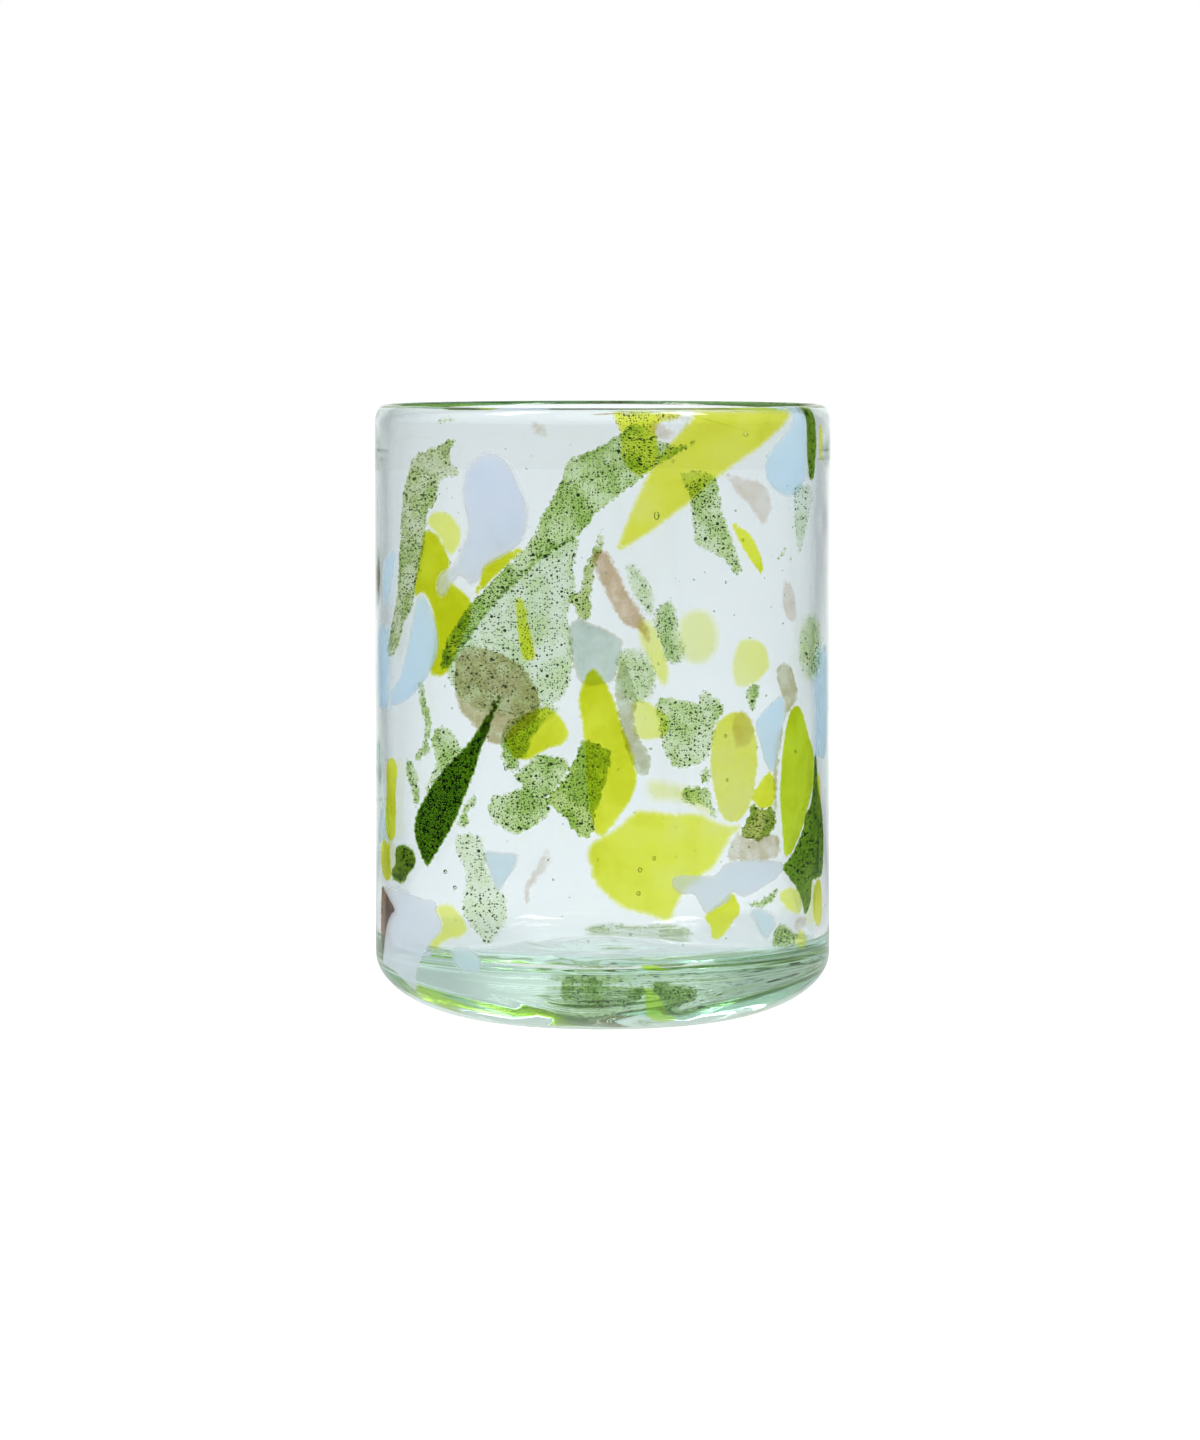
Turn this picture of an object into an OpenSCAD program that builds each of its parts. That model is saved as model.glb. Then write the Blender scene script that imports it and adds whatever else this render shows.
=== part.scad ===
// Hand-blown glass tumbler: a clear gathered body with coloured glass chips fused flush into its
// outer skin. Millimetres, +Z up, origin at the centre of the foot on the table, front towards -Y.

/* [Glass] */
// Outside diameter of the straight wall
glass_d = 76; // [66:0.5:88]
// Height from the table to the top of the lip
glass_h = 102.4; // [92:0.2:118]
// Thickness of the blown wall
wall_t = 2.2; // [2:0.1:3]
// Thickness of the solid base where it meets the wall
base_t = 10.8; // [9:0.1:13]

/* [Lip] */
// Extra thickness of the fire-polished lip on its inner side
lip_bead = 0.6; // [0.2:0.1:1]
// Height of the rounding outside the lip
lip_h = 3.2; // [2:0.1:4.5]
// Height over which the lip thins to the wall inside
bead_h = 9; // [6:0.5:14]

/* [Heel and foot] */
// Height of the rounded heel
heel_h = 11.1; // [9.5:0.1:13]
// Diameter of the flat foot that stands on the table
foot_d = 33.4; // [28:0.2:42]
// Diameter of the shallow pontil hollow under the foot
pontil_d = 17; // [12:0.5:22]
// Depth of the pontil hollow
pontil_depth = 0.8; // [0.4:0.1:1.4]

/* [Floor] */
// Rise of the domed floor at its middle
floor_rise = 2; // [0.8:0.1:3]
// Radius of the curve between floor and wall
floor_fillet = 4; // [2.5:0.1:6]

/* [Chips] */
// Thickness of one fused coloured chip
chip_t = 0.45; // [0.3:0.05:0.5]

/* [Hidden] */
$fn = 120;
// How far a cut reaches past the surface it opens
overrun = 1;
// Where the crest of the lip lies, as a share of the lip's thickness from outside
crest_share = 0.65;
// Height of the lip's inner rounding, as a share of its outer rounding
lip_inner_share = 0.55;
// Segments in a quarter turn of a rounded edge, and in the slow curves
arc_steps = 12;
blend_steps = 6;
// Points set on each stretch between two outline points
curve_steps = 3;

glass_r = glass_d / 2;
foot_r = foot_d / 2;
pontil_r = pontil_d / 2;
lip_t = wall_t + lip_bead;
crest_w = lip_t * crest_share;
inner_r = glass_r - wall_t;
floor_r = inner_r - floor_fillet;

// Glass colours
clear_c = [0.86, 0.91, 0.91, 0.35];
moss_c = [0.50, 0.65, 0.42];
dark_moss_c = [0.16, 0.30, 0.06];
lime_c = [0.82, 0.86, 0.20];
sky_c = [0.76, 0.86, 0.94];
taupe_c = [0.72, 0.68, 0.62];

// Chip outlines. Each point is [degrees round the glass from the front, to the right seen from
// the front, height as a share of glass_h]. Past 90 degrees a chip lies on the back wall.
moss_leaf_shares = [
    [-38.5, 0.953], [-43, 0.943], [-49, 0.931], [-54, 0.92], [-57, 0.89], [-59.5, 0.85],
    [-60.7, 0.8], [-61.5, 0.75], [-62.7, 0.7], [-65.2, 0.66], [-68, 0.62], [-68.4, 0.6],
    [-64.3, 0.603], [-61, 0.632], [-58.5, 0.66], [-55, 0.68], [-53.6, 0.72], [-51.2, 0.76],
    [-49.4, 0.8], [-48.8, 0.83], [-46, 0.85], [-44.3, 0.883], [-42, 0.889], [-37.6, 0.897],
    [-40, 0.91], [-40.8, 0.93]];
moss_sash_shares = [
    [-43.3, 0.586], [-43.6, 0.602], [-41, 0.635], [-38, 0.66], [-34, 0.69], [-29, 0.72],
    [-24, 0.75], [-20, 0.776], [-17, 0.8], [-15, 0.829], [-13, 0.85], [-10.6, 0.88],
    [-9.4, 0.9], [-8.6, 0.918], [-4, 0.93], [0, 0.942], [3, 0.955], [6, 0.97], [9.2, 0.974],
    [12, 0.96], [14.5, 0.946], [18.5, 0.941], [22.5, 0.949], [19, 0.931], [14, 0.915],
    [10, 0.895], [5, 0.87], [0, 0.846], [-1.6, 0.836], [-4, 0.815], [-8, 0.79], [-14, 0.77],
    [-19, 0.74], [-24, 0.71], [-29, 0.678], [-33, 0.648], [-37, 0.612], [-40.5, 0.592]];
moss_veil_shares = [
    [-6.8, 0.796], [-8, 0.755], [-7.4, 0.712], [-9.2, 0.682], [-8.4, 0.64], [-8, 0.6],
    [-9.4, 0.562], [-11, 0.545], [-16, 0.519], [-25, 0.515], [-36, 0.532], [-40, 0.558],
    [-42, 0.582], [-39, 0.62], [-33, 0.662], [-27, 0.702], [-20, 0.746], [-13, 0.786]];
moss_needle_shares = [
    [0.3, 0.8115], [-0.2, 0.784], [-1.9, 0.75], [-2.7, 0.718], [-2.9, 0.694], [-3.2, 0.672],
    [-5.6, 0.67], [-6.3, 0.684], [-7.9, 0.695], [-8.1, 0.707], [-5.7, 0.711], [-5.1, 0.724],
    [-4.3, 0.75], [-2.7, 0.774], [-1.1, 0.798]];
moss_flag_shares = [
    [20, 0.899], [27, 0.896], [29.2, 0.88], [30, 0.85], [31.5, 0.82], [33.5, 0.79], [35, 0.765],
    [36.2, 0.742], [34.4, 0.739], [32, 0.757], [28, 0.773], [23.6, 0.785], [23, 0.81],
    [22.3, 0.84], [21.8, 0.866], [20, 0.884]];
moss_fang_shares = [
    [56, 0.87], [60, 0.876], [65, 0.868], [65.2, 0.85], [63.8, 0.828], [61.4, 0.798], [59, 0.77],
    [57.5, 0.769], [57, 0.8], [56.2, 0.83]];
moss_wedge_shares = [
    [-5.6, 0.475], [-3.8, 0.48], [1.8, 0.462], [1.2, 0.43], [-0.2, 0.4], [-1.6, 0.37],
    [-2.6, 0.336], [-4.4, 0.325], [-6.6, 0.334], [-9.4, 0.357], [-12.4, 0.374], [-14, 0.386],
    [-11, 0.406], [-8.4, 0.43], [-6.4, 0.456]];
moss_blob_shares = [
    [-16.5, 0.455], [-12.6, 0.453], [-8.8, 0.444], [-10, 0.418], [-13.2, 0.388], [-13.6, 0.362],
    [-17, 0.345], [-22, 0.331], [-27, 0.344], [-29, 0.365], [-28, 0.386], [-23.4, 0.394],
    [-19.6, 0.406], [-22.4, 0.419], [-19, 0.438]];
moss_saddle_shares = [
    [-25.6, 0.482], [-23.6, 0.507], [-19.4, 0.523], [-15, 0.5355], [-12.6, 0.5345],
    [-11.3, 0.5265], [-15.5, 0.503], [-18.2, 0.48], [-19.2, 0.457], [-21, 0.446],
    [-21.5, 0.432], [-24.2, 0.434], [-25.2, 0.449]];
moss_crate_shares = [
    [14, 0.545], [20, 0.54], [24, 0.537], [25.2, 0.556], [28, 0.546], [31, 0.526], [28.6, 0.502],
    [28, 0.47], [25.4, 0.446], [21, 0.436], [18, 0.435], [16, 0.454], [14.6, 0.48], [13.8, 0.512]];
moss_fin_shares = [
    [20.4, 0.402], [26.4, 0.4], [28, 0.382], [29.2, 0.353], [27.6, 0.36], [26.4, 0.374],
    [20.6, 0.38]];
moss_trail_shares = [
    [-39.6, 0.314], [-36.8, 0.326], [-32, 0.321], [-30.4, 0.3], [-30, 0.27], [-27.6, 0.246],
    [-25, 0.226], [-25, 0.19], [-27.6, 0.162], [-30, 0.153], [-33.4, 0.174], [-37.2, 0.202],
    [-36.4, 0.238], [-36, 0.266], [-38.4, 0.29]];
moss_mist_shares = [
    [61, 0.655], [68, 0.662], [72, 0.63], [71, 0.582], [66, 0.56], [61, 0.574], [59, 0.612]];
moss_nugget_shares = [
    [40, 0.37], [44, 0.374], [47.2, 0.36], [47.8, 0.336], [44, 0.316], [39.2, 0.316],
    [36.4, 0.33], [38.8, 0.35]];
moss_heel_shares = [
    [-9.4, 0.101], [-3, 0.106], [0, 0.096], [5, 0.086], [10, 0.091], [8, 0.063], [0, 0.056],
    [-5, 0.056], [-9.6, 0.071]];
moss_heel_right_shares = [
    [13, 0.096], [20, 0.09], [24.5, 0.075], [23, 0.061], [17, 0.06], [13.6, 0.071]];
back_moss_heel_shares = [
    [183, 0.092], [177, 0.103], [170, 0.099], [163, 0.104], [157, 0.094], [155.6, 0.07],
    [160, 0.042], [167, 0.03], [175, 0.032], [181, 0.045], [184, 0.07]];
back_moss_chunk_shares = [
    [163, 0.655], [160, 0.655], [158, 0.62], [156, 0.58], [158, 0.564], [162, 0.566],
    [164.4, 0.585], [165, 0.61], [165, 0.636]];
back_moss_drift_shares = [
    [176, 0.571], [172, 0.58], [168, 0.571], [166, 0.54], [167, 0.51], [170, 0.49], [175, 0.5],
    [177, 0.53]];
back_moss_wisp_shares = [
    [173, 0.722], [170, 0.712], [167, 0.682], [166, 0.642], [169, 0.651], [172, 0.684]];
moss_crumb_tables_shares = [
    [[-52, 0.563], [-50.4, 0.556], [-49.4, 0.53], [-47.8, 0.51], [-47.7, 0.485],
     [-48.6, 0.469], [-48.3, 0.455], [-50.2, 0.444], [-53.2, 0.435], [-53.9, 0.441],
     [-51.7, 0.454], [-50.3, 0.468], [-49.7, 0.49], [-50.4, 0.512], [-52.2, 0.534]],
    [[-58, 0.436], [-55, 0.43], [-52.6, 0.402], [-52.6, 0.372], [-54.2, 0.364], [-55.6, 0.39],
     [-57.6, 0.412]],
    [[-46.6, 0.484], [-43.6, 0.493], [-40.7, 0.489], [-38.9, 0.475], [-37.4, 0.456],
     [-40, 0.431], [-44.2, 0.404], [-47.7, 0.386], [-49.2, 0.396], [-47.3, 0.416],
     [-45.5, 0.436], [-46.8, 0.458]],
    [[38, 0.556], [42, 0.558], [41.2, 0.536], [39.4, 0.521]],
    [[-33, 0.39], [-33.4, 0.373], [-35.5, 0.361], [-34.8, 0.346], [-35.9, 0.337],
     [-38.2, 0.338], [-37.2, 0.352], [-35.6, 0.375]],
    [[24.8, 0.428], [26.9, 0.432], [27, 0.411], [25.4, 0.408]],
    [[47, 0.146], [48.2, 0.166], [50.4, 0.176], [54, 0.166], [57, 0.151], [55.6, 0.14],
     [50, 0.139]],
    [[38.6, 0.214], [43.6, 0.219], [49.4, 0.235], [46.6, 0.213], [42, 0.208]],
    [[48.6, 0.756], [50.4, 0.77], [52.2, 0.776], [50.6, 0.762]],
    [[-44.5, 0.978], [-41.6, 0.983], [-39.4, 0.98], [-41.8, 0.976]]];
dark_lens_shares = [
    [-25.4, 0.551], [-27.9, 0.532], [-30.3, 0.51], [-33, 0.486], [-36.3, 0.462],
    [-40.6, 0.439], [-44.8, 0.415], [-48.9, 0.385], [-51.8, 0.364], [-53.6, 0.345],
    [-54.3, 0.324], [-53.2, 0.305], [-51.3, 0.285], [-49, 0.269], [-46.4, 0.286],
    [-43.2, 0.311], [-39.4, 0.345], [-37.1, 0.375], [-35.1, 0.401], [-33.4, 0.424],
    [-32.4, 0.444], [-31, 0.467], [-29.6, 0.486], [-28.2, 0.509], [-26.5, 0.532]];
dark_cliff_shares = [
    [62, 0.345], [65.4, 0.362], [66.8, 0.4], [67.2, 0.44], [68.8, 0.43], [70, 0.385],
    [72, 0.362], [74, 0.33], [75, 0.29], [73.6, 0.246],
    [69.6, 0.238], [66, 0.236], [65, 0.202], [62, 0.185], [60, 0.21], [57, 0.234], [54, 0.25],
    [51.6, 0.265], [55, 0.281], [58, 0.301], [61, 0.325]];
dark_rim_shard_shares = [
    [63.6, 0.994], [67.6, 0.992], [69.2, 0.944], [68.6, 0.912], [67.4, 0.884],
    [65.6, 0.882], [64.2, 0.9], [63.4, 0.95]];
dark_patch_shares = [
    [-64, 0.29], [-59, 0.298], [-55, 0.29], [-54, 0.27], [-57, 0.254], [-60, 0.236],
    [-65, 0.24], [-66.4, 0.25], [-64, 0.266]];
lime_sail_shares = [
    [-50, 0.801], [-46.5, 0.8], [-43, 0.777], [-41.4, 0.755], [-42, 0.73], [-38, 0.712],
    [-34.8, 0.694], [-35, 0.67], [-37, 0.64], [-40, 0.605], [-43, 0.577], [-48.2, 0.578],
    [-46.6, 0.612], [-46, 0.65], [-48, 0.69], [-51, 0.706], [-54.4, 0.7], [-53.4, 0.732],
    [-51.6, 0.77]];
lime_triangle_shares = [
    [-19.8, 0.781], [-24, 0.756], [-29, 0.727], [-33, 0.704], [-31.4, 0.73], [-30.4, 0.753],
    [-26, 0.769]];
lime_bar_shares = [
    [-21.5, 0.7], [-19.6, 0.696], [-18.4, 0.66], [-17, 0.622], [-17, 0.606], [-19.8, 0.608],
    [-21, 0.65]];
lime_blob_shares = [
    [-24.2, 0.478], [-22, 0.501], [-18, 0.521], [-14, 0.53], [-10.4, 0.515], [-8.5, 0.491],
    [-9.6, 0.475], [-14, 0.465], [-18, 0.45], [-22, 0.451]];
lime_blade_shares = [
    [-2.4, 0.592], [0.6, 0.57], [3, 0.536], [4.6, 0.502], [6.6, 0.47], [7.9, 0.436],
    [7.9, 0.405], [5.6, 0.375], [2.6, 0.349], [0, 0.329], [-1.5, 0.334], [-3, 0.37],
    [-4, 0.43], [-4.5, 0.49], [-5.6, 0.54], [-4.6, 0.571]];
lime_slab_shares = [
    [0, 0.325], [3, 0.336], [6, 0.351], [8.4, 0.365], [12, 0.366], [18, 0.361], [24, 0.36],
    [28, 0.349], [31, 0.341], [33.4, 0.338], [35.8, 0.3395], [35.2, 0.333], [33, 0.3235],
    [31.8, 0.311], [30, 0.293], [28.2, 0.277], [25, 0.264], [22, 0.25], [20, 0.236],
    [18.2, 0.216], [16.5, 0.195], [12, 0.204], [6, 0.215], [2, 0.234], [-1.4, 0.258],
    [-2.2, 0.28], [-3, 0.3], [-2, 0.316]];
lime_comet_shares = [
    [54.5, 0.994], [52.8, 0.978], [50, 0.966], [46, 0.951], [42, 0.935], [36, 0.915],
    [32, 0.9], [28, 0.883], [23, 0.856], [18, 0.834], [13, 0.81], [8, 0.79], [4.4, 0.779],
    [5.6, 0.802], [7.4, 0.832], [10, 0.87], [12.6, 0.9], [15.4, 0.93], [18.4, 0.951],
    [21, 0.968], [23.6, 0.984], [24.6, 0.994], [38, 0.996]];
lime_rim_patch_shares = [
    [3, 0.993], [8, 0.996], [14, 0.995], [19.4, 0.992], [18.6, 0.981], [13.4, 0.974],
    [13.8, 0.94], [14, 0.928], [12.4, 0.905], [9.4, 0.895], [6.8, 0.905], [4.8, 0.93],
    [4.8, 0.96]];
lime_sliver_shares = [
    [33.8, 0.822], [36.2, 0.81], [39, 0.8], [41.2, 0.78], [43.1, 0.756], [42.9, 0.738],
    [41.4, 0.744], [38.4, 0.765], [35.6, 0.79], [34.3, 0.805]];
lime_petal_shares = [
    [31, 0.51], [36, 0.52], [39.6, 0.505], [41.6, 0.46], [41.2, 0.41], [39, 0.366],
    [35, 0.346], [31.4, 0.353], [29.4, 0.384], [28, 0.43], [28.2, 0.48]];
lime_leaf_shares = [
    [55, 0.52], [58, 0.52], [60.6, 0.5], [63.2, 0.47], [65.8, 0.445], [66.6, 0.412],
    [65, 0.38], [62, 0.35], [59, 0.32], [56, 0.296], [53, 0.283], [51.8, 0.29], [50.8, 0.33],
    [50, 0.38], [50.5, 0.43], [51.6, 0.47], [53, 0.5]];
lime_crust_shares = [
    [41.9, 0.4], [45, 0.42], [47.4, 0.411], [48, 0.382], [46, 0.365], [42, 0.366], [40, 0.384]];
lime_tooth_shares = [
    [26.4, 0.2], [30, 0.216], [33.6, 0.233], [35.6, 0.216], [36, 0.2], [33.4, 0.181],
    [30, 0.16], [28.4, 0.164], [27.5, 0.184]];
lime_edge_high_shares = [
    [-70, 0.42], [-66, 0.435], [-63, 0.42], [-64, 0.386], [-64, 0.33], [-65, 0.305],
    [-69.6, 0.305], [-71, 0.34], [-70, 0.38]];
lime_edge_low_shares = [
    [-72, 0.3], [-69, 0.288], [-67.2, 0.26], [-67.4, 0.24], [-71, 0.234], [-75, 0.256],
    [-75, 0.286]];
lime_edge_right_high_shares = [
    [69.2, 0.405], [71, 0.4], [71.8, 0.36], [71, 0.325], [69.4, 0.345], [69, 0.375]];
lime_edge_right_shares = [
    [68, 0.232], [71, 0.236], [73, 0.21], [73, 0.176], [70, 0.16], [67, 0.175], [66.4, 0.21]];
lime_heel_leaf_shares = [
    [10.6, 0.087], [12.8, 0.084], [15.6, 0.064], [18.6, 0.042], [21.4, 0.028], [16.6, 0.027],
    [12.6, 0.045]];
back_lime_sliver_shares = [
    [170, 0.63], [166, 0.62], [163, 0.59], [161.5, 0.55], [163, 0.52], [165.6, 0.541],
    [168, 0.57], [170, 0.6]];
back_lime_cloud_shares = [
    [168, 0.352], [165, 0.355], [159, 0.346], [152, 0.336], [149, 0.312], [154, 0.32],
    [161, 0.325], [166, 0.326]];
back_lime_haze_shares = [
    [157, 0.625], [153, 0.642], [149, 0.634], [147.4, 0.604], [149, 0.572], [153, 0.562],
    [157, 0.581]];
back_lime_chunk_shares = [
    [140.6, 0.592], [136, 0.604], [130.4, 0.597], [129.2, 0.566], [131.4, 0.55],
    [135.4, 0.53], [141, 0.524], [142, 0.552]];
lime_crumb_tables_shares = [
    [[-48.6, 0.821], [-44, 0.836], [-39, 0.821], [-37.4, 0.795], [-39.4, 0.771], [-41.6, 0.772],
     [-43.6, 0.79], [-46.4, 0.806]],
    [[172.6, 0.49], [168, 0.488], [165, 0.476], [162.4, 0.462], [163.4, 0.436],
     [167, 0.427], [171.6, 0.43], [172.4, 0.458]],
    [[-45.9, 0.201], [-42, 0.211], [-38.4, 0.2], [-35.6, 0.176], [-38, 0.161], [-42, 0.156],
     [-46, 0.139], [-48, 0.145], [-44.2, 0.166], [-43.8, 0.186]],
    [[50, 0.224], [54, 0.232], [58, 0.224], [59.6, 0.205], [58, 0.188], [54, 0.196],
     [51, 0.209]],
    [[57.6, 0.156], [60, 0.16], [62.6, 0.14], [60, 0.131], [57, 0.138]],
    [[69.6, 0.964], [72.4, 0.966], [72.8, 0.93], [71.6, 0.911], [69.9, 0.916]]];
sky_teardrop_shares = [
    [-28, 0.929], [-24, 0.915], [-21, 0.88], [-18.6, 0.84], [-19.6, 0.802], [-22, 0.781],
    [-26, 0.766], [-30, 0.752], [-31.4, 0.735], [-33.6, 0.721], [-37, 0.734], [-40, 0.724],
    [-43, 0.701], [-45.1, 0.712], [-44, 0.735], [-40.6, 0.746], [-38.6, 0.757], [-37, 0.78],
    [-35.1, 0.802], [-35.3, 0.83], [-36.6, 0.86], [-35.6, 0.9], [-32, 0.924]];
sky_drop_shares = [
    [58.6, 0.994], [61.4, 0.994], [63, 0.966], [63, 0.93], [63.5, 0.9], [62, 0.879], [58, 0.861],
    [54, 0.858], [50, 0.865], [46.6, 0.88], [45, 0.905], [47, 0.93], [51, 0.95], [55, 0.966]];
sky_shard_shares = [
    [41, 0.5], [45, 0.525], [50, 0.541], [51.3, 0.529], [51.4, 0.504], [49.6, 0.474], [48, 0.43],
    [46.5, 0.421], [44, 0.44], [42.5, 0.47]];
sky_wings_shares = [
    [17.4, 0.26], [20, 0.265], [24, 0.263], [29, 0.263], [32, 0.28], [38, 0.283], [45, 0.28],
    [50, 0.275], [51, 0.265], [48, 0.25], [44, 0.24], [40, 0.23], [37, 0.225], [33.6, 0.236],
    [33, 0.222], [29, 0.21], [26.5, 0.203], [25, 0.215], [23, 0.235], [20, 0.235],
    [18, 0.245]];
sky_plate_shares = [
    [-72.6, 0.224], [-60, 0.223], [-52, 0.216], [-47, 0.215], [-45.4, 0.205], [-45, 0.19],
    [-44, 0.17], [-47, 0.15], [-50, 0.135], [-52, 0.115], [-54, 0.095], [-56, 0.075],
    [-58.4, 0.065], [-60, 0.066], [-62, 0.08], [-65, 0.09], [-71, 0.097], [-73.4, 0.101],
    [-72, 0.13], [-70, 0.16], [-67.2, 0.18], [-64.5, 0.19], [-68, 0.206]];
sky_lens_shares = [
    [-51.5, 0.701], [-49.5, 0.695], [-47.4, 0.676], [-45.6, 0.65], [-45, 0.62], [-46.5, 0.595],
    [-50, 0.565], [-55, 0.54], [-60, 0.526], [-65, 0.52], [-66.6, 0.526], [-66, 0.54],
    [-62, 0.562], [-59, 0.591], [-56.5, 0.63], [-55, 0.66], [-53.5, 0.689]];
sky_edge_high_shares = [
    [-64, 0.77], [-65, 0.74], [-66.6, 0.71], [-70, 0.686], [-72.6, 0.67], [-73, 0.7],
    [-72, 0.74], [-68, 0.762]];
sky_edge_low_shares = [
    [-74, 0.65], [-71, 0.63], [-69.2, 0.584], [-69.2, 0.544], [-70, 0.515], [-76, 0.511],
    [-79, 0.55], [-79, 0.62]];
sky_edge_right_shares = [
    [72, 0.6], [77, 0.61], [79, 0.54], [78, 0.45], [74, 0.43], [70.6, 0.44], [71, 0.5]];
sky_crumb_tables_shares = [
    [[39.4, 0.2], [42, 0.205], [46, 0.195], [48, 0.18], [46.4, 0.166], [44.5, 0.155],
     [42.6, 0.166], [41.4, 0.18]],
    [[-30.2, 0.297], [-26, 0.299], [-21.3, 0.296], [-22.3, 0.276], [-24.6, 0.255],
     [-26, 0.24], [-27.5, 0.246], [-28.8, 0.268]],
    [[-73, 0.36], [-71.5, 0.346], [-72, 0.318], [-75, 0.296], [-79, 0.294], [-78, 0.322],
     [-75, 0.351]],
    [[-40, 0.14], [-36, 0.145], [-32, 0.131], [-32, 0.109], [-36, 0.106], [-39, 0.117]]];
taupe_slab_shares = [
    [-39.6, 0.58], [-38, 0.607], [-34, 0.624], [-25, 0.611], [-20, 0.591], [-17, 0.562],
    [-16, 0.545], [-16.4, 0.52], [-19, 0.5], [-24, 0.478], [-28, 0.471], [-31, 0.481],
    [-35, 0.506], [-38.4, 0.532]];
taupe_sliver_shares = [
    [32, 0.896], [35, 0.891], [40, 0.885], [44, 0.875], [46, 0.85], [45, 0.825],
    [43.4, 0.815], [41, 0.83], [38, 0.85], [34.4, 0.871]];
taupe_strip_shares = [
    [4.9, 0.6075], [6.3, 0.587], [7.4, 0.57], [8.5, 0.549], [8.1, 0.53], [7.9, 0.505],
    [8.9, 0.481], [10.7, 0.467], [11.8, 0.447], [11.2, 0.427], [9, 0.426], [6.8, 0.45],
    [5.5, 0.479], [4.5, 0.502], [3.7, 0.537], [3.4, 0.551], [2.9, 0.564], [3.4, 0.582]];
taupe_ribbon_shares = [
    [49.4, 0.588], [53, 0.59], [55.6, 0.575], [57.5, 0.546], [57, 0.53], [54.6, 0.52],
    [52, 0.5], [50.6, 0.46], [49.6, 0.43], [49.1, 0.38], [48.6, 0.348], [48, 0.36],
    [48, 0.42], [48.3, 0.46], [51, 0.5], [52, 0.53], [50, 0.555], [49, 0.571]];
taupe_bar_shares = [
    [34, 0.315], [36, 0.326], [40, 0.316], [48, 0.321], [50, 0.301], [49, 0.285],
    [42, 0.279], [36, 0.284], [33, 0.285]];
grey_cobble_shares = [
    [-8, 0.66], [-5, 0.671], [-3, 0.663], [0, 0.656], [3, 0.646], [4.6, 0.635], [4, 0.61],
    [3, 0.58], [1, 0.569], [-5, 0.569], [-7, 0.6], [-8, 0.63]];
amber_wedge_shares = [
    [-75, 0.214], [-73, 0.223], [-68, 0.207], [-64.1, 0.191], [-67, 0.178], [-70.3, 0.157],
    [-71.5, 0.132], [-74.4, 0.108], [-76, 0.16]];
back_taupe_sliver_shares = [
    [183, 0.74], [180, 0.746], [177, 0.72], [174, 0.68], [171, 0.651], [169, 0.63],
    [167, 0.6], [168, 0.594], [170, 0.61], [174, 0.62], [177, 0.645], [180, 0.68],
    [182, 0.71]];
taupe_crumb_tables_shares = [
    [[13, 0.984], [18, 0.986], [22, 0.984], [20, 0.966], [16, 0.951], [12, 0.956],
     [11.6, 0.97]],
    [[34.4, 0.512], [37, 0.521], [40, 0.505], [40.4, 0.48], [38, 0.465], [34.6, 0.471]],
    [[56, 0.165], [58, 0.181], [62, 0.181], [62, 0.168], [58.6, 0.161]],
    [[122, 0.705], [118, 0.7], [114, 0.68], [113, 0.65], [117, 0.64], [121, 0.66]],
    [[202, 0.146], [200.4, 0.15], [200, 0.176], [197, 0.195], [195, 0.22], [196, 0.232],
     [198.4, 0.206], [201.6, 0.186]],
    [[-17.6, 0.974], [-14.6, 0.973], [-14.2, 0.957], [-16, 0.96]]];

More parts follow.
